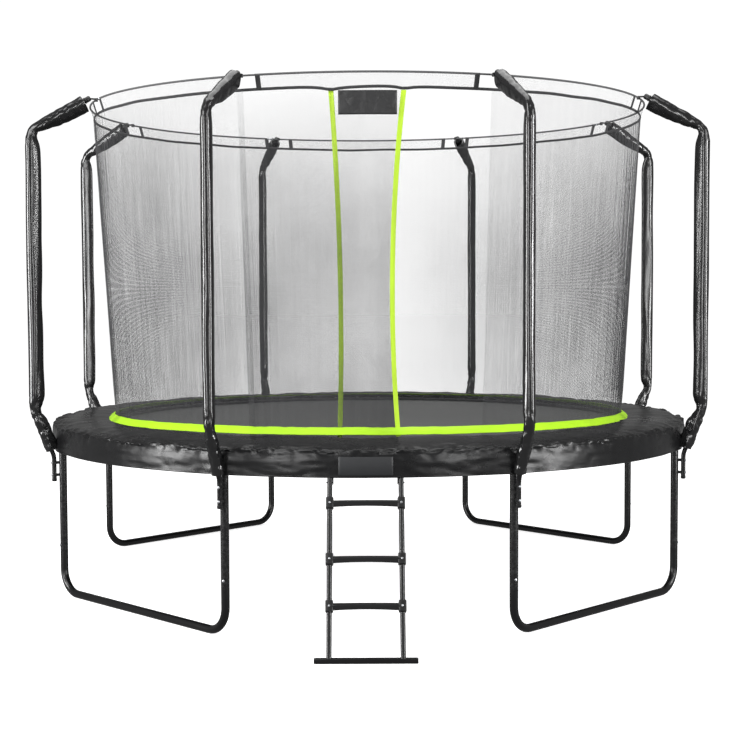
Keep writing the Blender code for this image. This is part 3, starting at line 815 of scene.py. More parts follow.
class ModelLegBases(bpy.types.Operator):
    """Bends the four U-shaped tubes that stand on the ground"""

    bl_idname = "trampoline.leg_bases"
    bl_label = "Leg Bases"

    def execute(self, context):
        reach = FRAME_RADIUS * sin(radians(STATION / 2))
        chord = FRAME_RADIUS * cos(radians(STATION / 2))
        low = GROUND_TUBE + FRAME_TUBE
        joint = LEG_JOINT - NECK_PLAY
        corners = [
            out(chord, joint, -reach), out(chord, low, -reach),
            out(chord, low, reach), out(chord, joint, reach),
        ]
        bend = tubes().leg_bend
        base = bent_tube("base", FRAME_TUBE, corners, (bend, bend), tubes().leg_wall, sides=28)
        neck = FRAME_TUBE - tubes().leg_wall - NECK_PLAY
        necks = []
        for side in (-reach, reach):
            ends = [out(chord, joint - 0.03, side), out(chord, joint + 0.04, side)]
            necks.append(bent_tube("neck", neck, ends, wall=0.002))
        base = join("leg_base", [base, *necks])
        azimuths = [STATION * (1 + 2 * number) for number in range(4)]
        for number, azimuth in enumerate(azimuths, 1):
            piece = place_on_ring(copy_piece(base, f"leg_base_{number}_tube"), azimuth)
            node = nearest_node(piece, "leg_base", 4)
            finish_piece(piece, "steel", node=node)
        bpy.data.objects.remove(base, do_unlink=True)
        return {"FINISHED"}


def nearest_node(piece, label, count):
    """The CAD node of that label whose box lies nearest to the piece."""
    points = [vertex.co for vertex in piece.data.vertices]
    middle = Vector(
        ((min(p[i] for p in points) + max(p[i] for p in points)) / 2 for i in range(3))
    )
    names = [f"{label}_{number}" for number in range(1, count + 1)]
    return min(names, key=lambda name: (box_middle(name) - middle).length)


# ---- net poles -----------------------------------------------------------------------------

POLE_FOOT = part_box("pole_lower_1")[0].z
POLE_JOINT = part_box("pole_upper_1")[0].z
POLE_FOOT_RADIUS = FRAME_RADIUS + 0.048
POLE_UPRIGHT_RADIUS = FRAME_RADIUS + 0.150
POLE_TIP_RADIUS = FRAME_RADIUS - 0.171
SLANT_FOOT, SLANT_TOP = 0.775, 1.04
SHOULDER = HOOP_HEIGHT - 0.185
TIP_HEIGHT = HOOP_HEIGHT + 0.004
SLEEVE_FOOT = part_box("pole_sleeve_1")[0].z
BARE_TIP = 0.035
POLE_WALL = 0.0016


def pole_corners():
    return [
        out(POLE_FOOT_RADIUS, POLE_FOOT),
        out(POLE_FOOT_RADIUS, SLANT_FOOT),
        out(POLE_UPRIGHT_RADIUS, SLANT_TOP),
        out(POLE_UPRIGHT_RADIUS, SHOULDER),
        out(POLE_TIP_RADIUS, TIP_HEIGHT),
    ]


def tip_heading():
    *_, shoulder, tip = pole_corners()
    return (tip - shoulder).normalized()


class ModelNetPoles(bpy.types.Operator):
    """Bends the lower and upper tubes of the eight net poles"""

    bl_idname = "trampoline.net_poles"
    bl_label = "Net Poles"

    def execute(self, context):
        foot, slant, upright, shoulder, tip = pole_corners()
        joint = out(POLE_UPRIGHT_RADIUS, POLE_JOINT)
        radius, bend = tubes().pole_tube, tubes().pole_bend
        lower = bent_tube("lower", radius, [foot, slant, upright, joint], (bend, bend), POLE_WALL)
        ends = [out(POLE_UPRIGHT_RADIUS, POLE_JOINT + rise) for rise in (-0.02, 0.05)]
        neck = bent_tube("neck", radius - POLE_WALL - NECK_PLAY, ends, wall=0.0012)
        lower = join("lower", [lower, neck])
        bends = (tubes().shoulder_bend,)
        upper = bent_tube("upper", radius, [joint, shoulder, tip], bends, POLE_WALL)
        for tube, label in ((lower, "pole_lower"), (upper, "pole_upper")):
            finish_round(tube, label, "steel", "_tube")
        return {"FINISHED"}


def sleeve_scrunch(height):
    """How crumpled the cover is: most at its foot and at the shoulder."""
    foot = 1.0 - smooth_step(SLANT_TOP - 0.03, SLANT_TOP + 0.12, height)
    shoulder = smooth_step(SHOULDER - 0.10, SHOULDER - 0.01, height)
    beyond = smooth_step(SHOULDER + 0.02, SHOULDER + 0.06, height)
    return max(foot, 0.8 * shoulder * (1 - 0.65 * beyond))


def sleeve_pinch(height):
    """The cover gathers at the pole's two bends, where the pole turns inside it."""
    low = (height - SLANT_TOP + 0.01) / 0.045
    high = (height - SHOULDER + 0.005) / 0.05
    return exp(-low * low) + exp(-high * high)


def wrinkle_sleeve(piece, seed, middles):
    """Shapes one cover: its seam allowance stands towards the net, and its cloth crumples."""
    shift = Vector((seed * 11.3, seed * 5.7, seed * 3.1))
    for vertex in piece.data.vertices:
        height = vertex.co.z
        middle = middles(vertex.co)
        spoke = (vertex.co - middle).normalized()
        inward = (AXIS - vertex.co)
        inward.z = 0.0
        inward.normalize()
        if height > SHOULDER:
            inward = (inward * 0.55 + Vector((0, 0, -0.85))).normalized()
        facing = max(0.0, spoke.dot(inward))
        pinch = sleeve_pinch(height)
        waver = 1.0 + 0.2 * noise.noise(Vector((shift.y, 1.0, height * 4)))
        fin = 0.026 * facing ** 3 * waver * (1.0 - 0.75 * pinch)
        scrunch = sleeve_scrunch(height)
        long_place = Vector((vertex.co.x * 30, vertex.co.y * 30, height * 2.6)) + shift
        fold_place = Vector((vertex.co.x * 15, vertex.co.y * 15, height * 17)) + shift
        long_fold = 0.0035 * noise.noise(long_place)
        creases = crumple(fold_place, 1.0, 0.0085 * scrunch + 0.0002)
        swell = 0.0008 * noise.noise(Vector((shift.x, 0, height * 4)))
        loose = 0.004 * scrunch - 0.0055 * pinch
        flare = 0.006 * smooth_step(SHOULDER + 0.03, TIP_HEIGHT - 0.03, height)
        vertex.co += spoke * (long_fold + loose - creases + 0.001 + swell + flare) + inward * fin
    piece.data.update()


class ModelPoleSleeves(bpy.types.Operator):
    """Makes the padded sleeves in their crumpled covers"""

    bl_idname = "trampoline.pole_sleeves"
    bl_label = "Pole Sleeves"

    def execute(self, context):
        _, slant, upright, shoulder, tip = pole_corners()
        foot = slant.lerp(upright, (SLEEVE_FOOT - SLANT_FOOT) / (SLANT_TOP - SLANT_FOOT))
        end = tip - tip_heading() * BARE_TIP
        radius = tubes().sleeve_radius
        bends = (tubes().pole_bend, tubes().shoulder_bend)
        sleeve = bent_tube("sleeve", radius, [foot, upright, shoulder, end], bends, 0.0, 0.009, 36)
        route = bent_tube("route", 1e-4, [foot, upright, shoulder, end], bends, 0.0, 0.009, 3)
        names = station_names("pole_sleeve")
        azimuths = pole_azimuths()
        covers = round_the_ring(sleeve, [f"{n}_cover" for n in names], azimuths)
        routes = round_the_ring(route, [f"route_{n}" for n in names], azimuths)
        for number, (cover, line, name) in enumerate(zip(covers, routes, names), 1):
            points = sorted((v.co.copy() for v in line.data.vertices), key=lambda p: p.z)

            def middle(point, points=points):
                return min(points, key=lambda p: (p - point).length_squared)

            wrinkle_sleeve(cover, number, middle)
            bpy.data.objects.remove(line, do_unlink=True)
            padding = radius - tubes().pole_tube - 0.004
            apply_modifier(cover, "SOLIDIFY", thickness=padding, offset=-1.0)
            clear_selection()
            cover.select_set(True)
            bpy.context.view_layer.objects.active = cover
            bpy.ops.object.shade_smooth_by_angle(angle=radians(60))
            finish_piece(cover, "sleeve", node=name)
        return {"FINISHED"}


class ModelTipCaps(bpy.types.Operator):
    """Moulds the caps on the pole tips, with the peg that holds the hoop, and the foot plugs"""

    bl_idname = "trampoline.tip_caps"
    bl_label = "Pole Caps"

    def execute(self, context):
        tip, radius = pole_corners()[-1], tubes().pole_tube
        heading = tip_heading()
        shell = knob("shell", radius + 0.003, tip - heading * 0.02, heading, 0.03, 0.004)
        collar = knob("collar", radius + 0.005, tip - heading * 0.024, heading, 0.006, 0.001)
        tongue = block(
            "tongue", (0.016, POLE_TIP_RADIUS - HOOP_RADIUS + 0.012, 0.008),
            out((POLE_TIP_RADIUS + HOOP_RADIUS) / 2, HOOP_HEIGHT + 0.005), 0.0025,
        )
        peg = knob("peg", 0.0095, out(HOOP_RADIUS, HOOP_HEIGHT - 0.009), (0, 0, 1), 0.019, 0.004)
        tip_cap = join("tip_cap", [shell, collar, tongue, peg])
        foot = out(POLE_FOOT_RADIUS, POLE_FOOT + 0.012)
        plug = knob("plug", radius + 0.0012, foot, (0, 0, -1), 0.015, 0.003)
        for cap, label in ((tip_cap, "pole_tip_cap"), (plug, "pole_foot_plug")):
            finish_round(cap, label, "plastic")
        return {"FINISHED"}


# ---- fasteners -----------------------------------------------------------------------------


def bolt_head(name, base, heading, size):
    """A washer under a six-sided head."""
    washer = knob("washer", size * 1.35, base, heading, size * 0.3, size * 0.08)
    seat = base + heading * size * 0.28
    head = knob(name, size, seat, heading, size * 0.8, size * 0.2, 6)
    return join(name, [washer, head])


class ModelFasteners(bpy.types.Operator):
    """Adds the bolts of the leg joints and poles, and the poles' spacers"""

    bl_idname = "trampoline.fasteners"
    bl_label = "Fasteners"

    def execute(self, context):
        outward = Vector((0, -1, 0))
        pole_face = POLE_FOOT_RADIUS + tubes().pole_tube
        leg_face = FRAME_RADIUS + FRAME_TUBE
        heads, spacers = [], []
        for height in (POLE_FOOT + 0.032, POLE_FOOT + 0.1):
            heads.append(bolt_head("bolt", out(pole_face - 0.001, height), outward, 0.0052))
            ends = [out(leg_face - 0.002, height), out(POLE_FOOT_RADIUS - 0.0105, height)]
            spacers.append(bent_tube("spacer", 0.008, ends, wall=0.003, sides=16))
        heads.append(bolt_head("bolt", out(leg_face - 0.001, LEG_JOINT + 0.03), outward, 0.0055))
        bolts = join("bolts", heads)
        spacer = join("spacers", spacers)
        finish_round(bolts, "pole_bolts", "zinc")
        finish_round(spacer, "pole_spacers", "plastic")
        return {"FINISHED"}


# ---- mat and springs -----------------------------------------------------------------------

SPRING_OUTER = FRAME_RADIUS - FRAME_TUBE - 0.004
SPRING_INNER = MAT_RADIUS + 0.004
SPRING_HEIGHT = box_middle("jump_mat").z


class ModelJumpingMat(bpy.types.Operator):
    """Finishes the mat: weave, sewn webbing round its rim, stitches and V-rings"""

    bl_idname = "trampoline.jumping_mat"
    bl_label = "Jumping Mat"

    def execute(self, context):
        mat = frame["nodes"]["jump_mat"]
        dress(mat, "mat")
        inner, outer, top = MAT_RADIUS - 0.052, MAT_RADIUS + 0.001, MAT_TOP
        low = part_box("jump_mat")[0].z
        section = [
            (inner, top + 0.0002), (inner + 0.002, top + 0.0018), (outer - 0.003, top + 0.0018),
            (outer + 0.0015, top - 0.002), (outer + 0.0015, low + 0.002), (outer - 0.003, low - 0.0018),
            (inner + 0.002, low - 0.0018), (inner, low - 0.0002),
        ]
        webbing = turned("mat_webbing", section, 144)
        finish_piece(webbing, "hem", "mat")
        stitch = block("stitch", (0.0055, 0.0011, 0.0011), (0, 0, 0), 0.0004, 1)
        rows = []
        for radius in (inner + 0.006, outer - 0.008):
            count = int(2 * pi * radius / 0.05)
            for number in range(count):
                one = copy_piece(stitch, "stitch_part")
                one.data.transform(Matrix.Translation(out(radius, top + 0.002)))
                rows.append(place_on_ring(one, 360.0 * number / count))
        bpy.data.objects.remove(stitch, do_unlink=True)
        stitches = join("mat_stitches", rows)
        finish_piece(stitches, "thread", "mat")
        clear_selection()
        bpy.ops.mesh.primitive_torus_add(
            major_segments=9, minor_segments=5, major_radius=0.013, minor_radius=0.0021,
            location=out(MAT_RADIUS - 0.006, SPRING_HEIGHT), rotation=(0, 0, radians(-90)),
        )
        ring = close_piece("ring", 60.0)
        names = [f"ring_{number}" for number in range(SPRINGS)]
        rings = join("mat_rings", round_the_ring(ring, names, spring_azimuths()))
        finish_piece(rings, "spring", "mat")
        return {"FINISHED"}


def spring_azimuths():
    gap = 360.0 / SPRINGS
    return [gap * (number + 0.5) for number in range(SPRINGS)]


class ModelSprings(bpy.types.Operator):
    """Winds the coil springs between the frame and the mat"""

    bl_idname = "trampoline.springs"
    bl_label = "Springs"

    def execute(self, context):
        wire, coil, turns = 0.0016, 0.0095, 18
        start, end = SPRING_INNER + 0.014, SPRING_OUTER - 0.014
        clear_selection()
        bpy.ops.mesh.primitive_circle_add(
            vertices=5, radius=wire, location=(coil, 0, 0), rotation=(radians(90), 0, 0)
        )
        bpy.ops.object.transform_apply(location=True, rotation=True)
        winding = bpy.context.object
        apply_modifier(
            winding, "SCREW", angle=2 * pi * turns, steps=9 * turns, render_steps=9 * turns,
            screw_offset=end - start, axis="Z", use_merge_vertices=False,
        )
        winding.data.transform(
            Matrix.Translation(out(start, SPRING_HEIGHT)) @ Matrix.Rotation(radians(90), 4, "X")
        )
        bpy.context.view_layer.objects.active = winding
        winding = close_piece("winding", 80.0)
        hooks = []
        for near, far in ((start + 0.003, SPRING_INNER), (end - 0.003, SPRING_OUTER)):
            sign = 1.0 if far > near else -1.0
            corners = [
                out(near, SPRING_HEIGHT + coil), out(near + sign * 0.006, SPRING_HEIGHT + 0.002),
                out(far - sign * 0.002, SPRING_HEIGHT + 0.002),
                out(far, SPRING_HEIGHT - 0.005), out(far - sign * 0.005, SPRING_HEIGHT - 0.006),
            ]
            hooks.append(capped(bent_tube("hook", wire, corners, (0.003, 0.002, 0.002), sides=5)))
        spring = join("spring", [winding, *hooks])
        names = [f"spring_{number}" for number in range(1, SPRINGS + 1)]
        for number, (piece, azimuth) in enumerate(
            zip(round_the_ring(spring, names, spring_azimuths()), spring_azimuths())
        ):
            dress(piece, "spring")
            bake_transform(piece)
            if number == 0:
                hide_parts("spring_set")
        return {"FINISHED"}


# ---- safety pad ----------------------------------------------------------------------------

PAD_INNER = PAD_OUTER - 0.337
PAD_LOW = PAD_TOP - 0.024
BADGE_WIDTH = 0.26


def front_lift(azimuth):
    """The pad's inner edge is drawn up a little at the entrance."""
    return max(0.0, cos(azimuth)) ** 1.5


def shape_pad(azimuth, radius, height):
    """Pulls the cover in between the legs, and folds its cloth."""
    ring = on_circle(azimuth, PAD_OUTER)
    from_pole = (degrees(azimuth) - FIRST_POLE + STATION / 2) % STATION - STATION / 2
    held_in = 1.0 - exp(-((from_pole / 2.2) ** 2))
    upper = smooth_step(PAD_LOW - 0.004, PAD_LOW + 0.01, height)
    inward = smooth_step(PAD_OUTER - 0.05, PAD_INNER, radius)
    edge = smooth_step(PAD_OUTER - 0.17, PAD_OUTER - 0.015, radius)
    rim = smooth_step(PAD_OUTER - 0.05, PAD_OUTER - 0.002, radius)
    skirt = 1.0 - smooth_step(PAD_LOW - 0.045, PAD_LOW + 0.004, height)
    billow = 0.007 * noise.noise(ring * 3.0 + Vector((0, 0, radius * 3)))
    radial = 0.006 * noise.noise(ring * 8.5 + Vector((0, 0, radius * 0.8)))
    folds = crumple(ring * 6.0 + Vector((2.0, 5.0, radius * 13 + height * 11)), 1.0, 0.019)
    tucks = crumple(ring * 13.0 + Vector((1.0, 8.0, radius * 9 + height * 24)), 1.0, 0.008)
    height += upper * (0.018 * inward * front_lift(azimuth) + billow + radial * (1 - rim))
    height -= upper * edge * (folds + edge * tucks)
    radius -= (1 - skirt) * rim * (0.6 * tucks + 0.7 * folds)
    wave = 0.0022 * noise.noise(ring * 2.6 + Vector((0, 0, height * 5)))
    pulls = crumple(ring * 4.0 + Vector((9.0, 1.0, height * 26)), 1.0, 0.004)
    radius += rim * (wave - pulls - 0.009 * held_in * rim)
    return azimuth, radius, height


def pad_section():
    """Outline of the pad and its skirt, rings close together where the cover folds."""
    crown, bend, across, down = 0.006, 0.012, 22, 12
    width = PAD_OUTER - PAD_INNER - bend
    edge, crease = PAD_TOP - crown, PAD_TOP - crown - bend
    upper = [
        (PAD_INNER + width * step / across, edge + crown * sin(pi * step / across))
        for step in range(across + 1)
    ]
    shoulder = [
        (PAD_OUTER - bend + bend * sin(radians(turn)), crease + bend * cos(radians(turn)))
        for turn in (30, 60, 90)
    ]
    fall = [
        (PAD_OUTER, crease + (SKIRT_HEM - crease) * step / down) for step in range(1, down + 1)
    ]
    back = PAD_OUTER - 0.004
    inside = [(back, SKIRT_HEM), (back, PAD_LOW - 0.03), (back, PAD_LOW)]
    under = [(PAD_OUTER - 0.1, PAD_LOW), (PAD_INNER + 0.1, PAD_LOW), (PAD_INNER, PAD_LOW + 0.002)]
    return upper + shoulder + fall + inside + under


class ModelSafetyPad(bpy.types.Operator):
    """Makes the padded ring with its skirt, hem seam, lime edging and badge"""

    bl_idname = "trampoline.safety_pad"
    bl_label = "Safety Pad"

    def execute(self, context):
        pad = reshape(turned("safety_pad_cover", pad_section(), 960), shape_pad)
        finish_piece(pad, "pad", node="safety_pad")
        rim, lean, rise, cloth = PAD_INNER + 0.006, 0.034, 0.034, 0.003
        low = PAD_TOP - 0.006
        section = [
            (rim, low),
            (rim - lean * 0.3, low + rise * 0.42),
            (rim - lean * 0.65, low + rise * 0.75),
            (rim - lean, low + rise),
            (rim - lean - 0.002, low + rise - 0.002),
            (rim - lean * 0.65 - cloth, low + rise * 0.7),
            (rim - lean * 0.3 - cloth, low + rise * 0.35),
            (rim - cloth, low - 0.002),
        ]

        def lift_edging(azimuth, radius, height):
            ring = on_circle(azimuth)
            wave = 0.0024 * noise.noise(ring * 9.0) + 0.0016 * noise.noise(ring * 26.0)
            share = (height - low) / rise
            flat = 0.72 * (0.5 - 0.5 * cos(azimuth)) ** 2
            height = low + share * rise * (1 - flat) + 0.030 * front_lift(azimuth) + wave
            return azimuth, radius + wave, height

        edging = reshape(turned("pad_edging", section, 420), lift_edging)
        edging.visible_glossy = False
        finish_piece(edging, "edging")
        hem = turned_rod(
            "skirt_hem", PAD_OUTER - 0.001, SKIRT_HEM + 0.004, 0.0028, 480, sides=8, tall=1.8
        )
        reshape(hem, shape_pad)
        finish_piece(hem, "pad")
        half = degrees(BADGE_WIDTH / 2 / PAD_OUTER)
        back, front, face = PAD_OUTER - 0.008, PAD_OUTER - 0.0048, PAD_OUTER - 0.006
        foot, top = SKIRT_HEM + 0.012, SKIRT_HEM + 0.100
        section = [
            (face, foot), (front, foot + 0.002), (front, top - 0.002),
            (face, top), (back, top - 0.002), (back, foot + 0.002),
        ]
        badge = capped(turned("skirt_badge", section, 24, True, -half - 0.5, 2 * half))
        finish_piece(badge, "badge")
        return {"FINISHED"}


# ---- net -----------------------------------------------------------------------------------

NET_FOOT_RADIUS = FRAME_RADIUS - 0.34
NET_TOP_RADIUS = FRAME_RADIUS - 0.235
FLAP_END = 22.5  # azimuth of the wall's edge, where a flap is sewn to it
FLAP_LAP = 1.2  # degrees that a flap goes on past the wall's edge
FLAP_REACH = 5.3  # azimuth of a flap's free side, past the middle
FLAP_OFFSET = 0.007  # of the outer flap to the outside, and of the inner one to the inside
FINER_GAP = 0.43  # of the small pleats, as a share of the pleat gap
NET_ROWS = 24
COLUMN_GAP = 0.0085


def net_radius(height):
    share = (height - NET_FOOT) / (NET_HEM - NET_FOOT)
    return NET_FOOT_RADIUS + (NET_TOP_RADIUS - NET_FOOT_RADIUS) * share


def pleat(azimuth, height):
    """How far the net stands out of its plain cone at a place."""
    ring = on_circle(azimuth)
    waver = 1.6 * noise.noise(ring * 4.0 + Vector((0, 0, height * 0.7)))
    slack = noise.noise(ring * 2.5 + Vector((4.0, 0, height * 0.4)))
    strength = 0.35 + 0.65 * smooth_step(-0.5, 0.6, slack)
    held = smooth_step(NET_FOOT, NET_FOOT + 0.25, height)
    turn = 2 * pi * azimuth * NET_TOP_RADIUS / looks().pleat_gap
    wave = sin(turn + waver)
    finer = 0.35 * sin(turn / FINER_GAP + 2.4 * waver)
    gathered = 0.55 + 0.75 * abs(sin(azimuth)) ** 2
    return looks().pleat_depth * gathered * strength * (0.25 + 0.75 * held) * (wave + finer)


def net_profile(low, high, rows):
    heights = [low + (high - low) * row / rows for row in range(rows + 1)]
    return [(net_radius(height), height) for height in heights]


def net_sheet(name, start, sweep, high, rows, offset, edges=None):
    """One pleated sheet of net. edges gives the azimuths of its two sides at a height."""
    columns = max(12, int(radians(sweep) * NET_TOP_RADIUS / COLUMN_GAP))
    sheet = turned(name, net_profile(NET_FOOT, high, rows), columns, False, start, sweep)
    begin, end = radians(start), radians(start + sweep)

    def fold(azimuth, radius, height):
        while azimuth < begin - WELD:
            azimuth += 2 * pi
        if edges:
            share = (azimuth - begin) / (end - begin)
            first, last = edges(height)
            azimuth = first + (last - first) * share
        return azimuth, radius + offset + pleat(azimuth, height), height

    reshape(sheet, fold)
    cloth_map(sheet, NET_TOP_RADIUS)
    return sheet


def strip_side(height, top, middle, bottom):
    """Where a flap's free edge hangs at a height, beside the trampoline's middle."""
    share = (height - NET_FOOT) / (NET_HEM - NET_FOOT)
    rest = 1 - share
    return bottom * rest * (1 - 2 * share) + 4 * middle * share * rest + top * share * (2 * share - 1)


def outer_edge(height):
    side = strip_side(height, 0.176, 0.118, 0.150)
    return radians(-FLAP_END - FLAP_LAP), asin(side / net_radius(height))


def inner_edge(height):
    side = strip_side(height, 0.180, 0.139, 0.147)
    return -asin(side / net_radius(height)), radians(FLAP_END + FLAP_LAP)


def blend_flap(piece):
    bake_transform(piece)


class ModelNetWall(bpy.types.Operator):
    """Hangs the pleated net from one side of the entrance round to the other"""

    bl_idname = "trampoline.net_wall"
    bl_label = "Net Wall"

    def execute(self, context):
        sweep = 360.0 - 2 * FLAP_END
        wall = net_sheet("net_wall_cloth", FLAP_END, sweep, NET_HEM, NET_ROWS, 0.0)
        dress(wall, "net")
        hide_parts("net_wall")
        hem = turned_rod(
            "net_foot_hem", NET_FOOT_RADIUS, NET_FOOT + 0.008, 0.0022, 220, FLAP_END, sweep, 8, 3.4
        )
        capped(hem)
        dress(hem, "hem")
        for piece in (wall, hem):
            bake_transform(piece)
        return {"FINISHED"}


class ModelEntranceFlaps(bpy.types.Operator):
    """Hangs the two overlapping flaps of the entrance, with their green edge strips"""

    bl_idname = "trampoline.entrance_flaps"
    bl_label = "Entrance Flaps"

    def execute(self, context):
        for side, label, edge in ((1, "outer", outer_edge), (-1, "inner", inner_edge)):
            start = -FLAP_END - FLAP_LAP if side > 0 else -FLAP_REACH
            sweep = FLAP_END + FLAP_REACH + FLAP_LAP
            offset = side * FLAP_OFFSET
            flap = net_sheet(f"flap_{label}_cloth", start, sweep, NET_HEM, NET_ROWS, offset, edge)
            dress(flap, f"{label}_net")
            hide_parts(f"net_flap_{label}")
            half = looks().strip_width / 2 / NET_TOP_RADIUS

            def strip_edges(height, edge=edge, side=side, half=half):
                free = edge(height)[1 if side > 0 else 0]
                return free - half, free + half

            strip = net_sheet(
                f"flap_{label}_strip", 0.0, degrees(2 * half), NET_HEM - 0.016, 60,
                offset + 0.001 * side, strip_edges,
            )
            apply_modifier(strip, "SOLIDIFY", thickness=0.0024, offset=0.0)
            dress(strip, "strip")
            strip.visible_glossy = False
            for piece in (flap, strip):
                blend_flap(piece)
        return {"FINISHED"}


WINDOW_WIDTH = 0.150  # of the openings in the band where the poles hold the hoop
BAND_ROWS = 6
BAR_SWEEP = 0.9
STRIP_AZIMUTHS = (-0.112, 0.112)


def hem_dip(azimuth):
    """The lower hem is pulled down where the two green strips are sewn to it."""
    dips = (exp(-abs(azimuth - strip) / 0.028) for strip in STRIP_AZIMUTHS)
    return 0.014 * sum(dips)


def hang_band(azimuth, radius, height):
    share = (HOOP_HEIGHT - height) / (HOOP_HEIGHT - NET_HEM)
    return azimuth, radius + 0.5 * pleat(azimuth, height), height - share * hem_dip(azimuth)


def hang_hem(azimuth, radius, height):
    wave = 0.004 * noise.noise(on_circle(azimuth) * 6.0)
    return azimuth, radius + 0.4 * pleat(azimuth, height), height + wave - hem_dip(azimuth)


class ModelNetBands(bpy.types.Operator):
    """Sews the band between the net and the hoop, with its hems and the windows at the poles"""

    bl_idname = "trampoline.net_bands"
    bl_label = "Net Bands"

    def execute(self, context):
        window = degrees(WINDOW_WIDTH / 2 / HOOP_RADIUS)
        gap_sweep = STATION - 2 * window
        foot, top = Vector((NET_TOP_RADIUS, NET_HEM)), Vector((HOOP_RADIUS, HOOP_HEIGHT))
        profile = [tuple(foot.lerp(top, row / BAND_ROWS)) for row in range(BAND_ROWS + 1)]
        bands, bars = [], []
        for azimuth in pole_azimuths():
            start = azimuth + window
            band = turned("band", profile, 120, False, start, gap_sweep)
            reshape(band, hang_band)
            bands.append(band)
            outside = [(radius + 0.002, height) for radius, height in profile]
            for end in (start, start + gap_sweep - BAR_SWEEP):
                bars.append(turned("bar", outside, 3, False, end, BAR_SWEEP))
        band = join("net_band_cloth", bands)
        cloth_map(band, HOOP_RADIUS)
        finish_piece(band, "band")
        bar = join("net_band_bars", bars)
        apply_modifier(bar, "SOLIDIFY", thickness=0.004, offset=0.0)
        finish_piece(bar, "hem")
        hem = turned_rod("net_hem", NET_TOP_RADIUS, NET_HEM + 0.002, 0.004, 360, sides=10, tall=1.9)
        reshape(hem, hang_hem)
        finish_piece(hem, "hem")
        uppers = []
        for azimuth in pole_azimuths():
            start = azimuth + window
            upper = turned_rod("upper", HOOP_RADIUS, HOOP_HEIGHT, 0.0055, 40, start, gap_sweep, 12)
            uppers.append(capped(upper))
        upper = join("net_upper_hem", uppers)
        finish_piece(upper, "rim")
        return {"FINISHED"}


class ModelTopHoop(bpy.types.Operator):
    """Bends the rod that spreads the net, and joins its lengths with ferrules"""

    bl_idname = "trampoline.top_hoop"
    bl_label = "Top Hoop"

    def execute(self, context):
        rod = turned_rod("hoop_rod", HOOP_RADIUS, HOOP_HEIGHT, HOOP_ROD, 240, sides=12)
        finish_piece(rod, "rod", node="top_hoop")
        ferrule = capped(
            turned_rod("ferrule", HOOP_RADIUS, HOOP_HEIGHT, 0.0062, 4, FIRST_POLE + 1.4, 1.6, 12)
        )
        ferrule.data.transform(Matrix.Translation(-AXIS))
        azimuths = [2 * STATION * number for number in range(POLES // 2)]
        ferrules = join(
            "hoop_ferrules", round_the_ring(ferrule, [f"ferrule_{n}" for n in range(4)], azimuths)
        )
        finish_piece(ferrules, "zinc")
        return {"FINISHED"}


PATCH_WIDTH = 0.283


class ModelNetPatch(bpy.types.Operator):
    """Sews the plain patch under the hem, over the entrance"""

    bl_idname = "trampoline.net_patch"
    bl_label = "Net Patch"

    def execute(self, context):
        half = degrees(PATCH_WIDTH / 2 / NET_TOP_RADIUS)
        profile = net_profile(NET_HEM - 0.134, NET_HEM - 0.018, 12)
        patch = turned("net_patch", profile, 30, False, -half, 2 * half)

        def buckle(azimuth, radius, height):
            place = Vector((azimuth * 16, height * 14, 3.0))
            return azimuth, radius + 0.016 + 0.5 * crumple(place, 1.0, 0.008), height

        reshape(patch, buckle)
        apply_modifier(patch, "SOLIDIFY", thickness=0.0016, offset=0.0)
        dress(patch, "patch")
        blend_flap(patch)
        return {"FINISHED"}


# ---- ladder --------------------------------------------------------------------------------

LADDER_TUBE = 0.0125
STEPS = 3
TREAD_DEPTH, TREAD_THICK = 0.040, 0.022
LADDER_FOOT = box_middle("ladder_foot")
LADDER_PIVOT = Vector(
    next(joint["pos_m"] for joint in frame["joints"] if joint["name"] == "ladder_swing")
)


def rail_line(side):
    """Foot and top of a ladder rail's centre line, from the foot bar past the pivot."""
    heading = (LADDER_PIVOT - LADDER_FOOT).normalized()
    side_x = box_middle(f"ladder_rail_{side}").x
    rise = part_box(f"ladder_rail_{side}")[1].z - LADDER_TUBE * heading.y - LADDER_FOOT.z
    foot = Vector((side_x, LADDER_FOOT.y, LADDER_FOOT.z))
    return foot, foot + heading * (rise / heading.z)


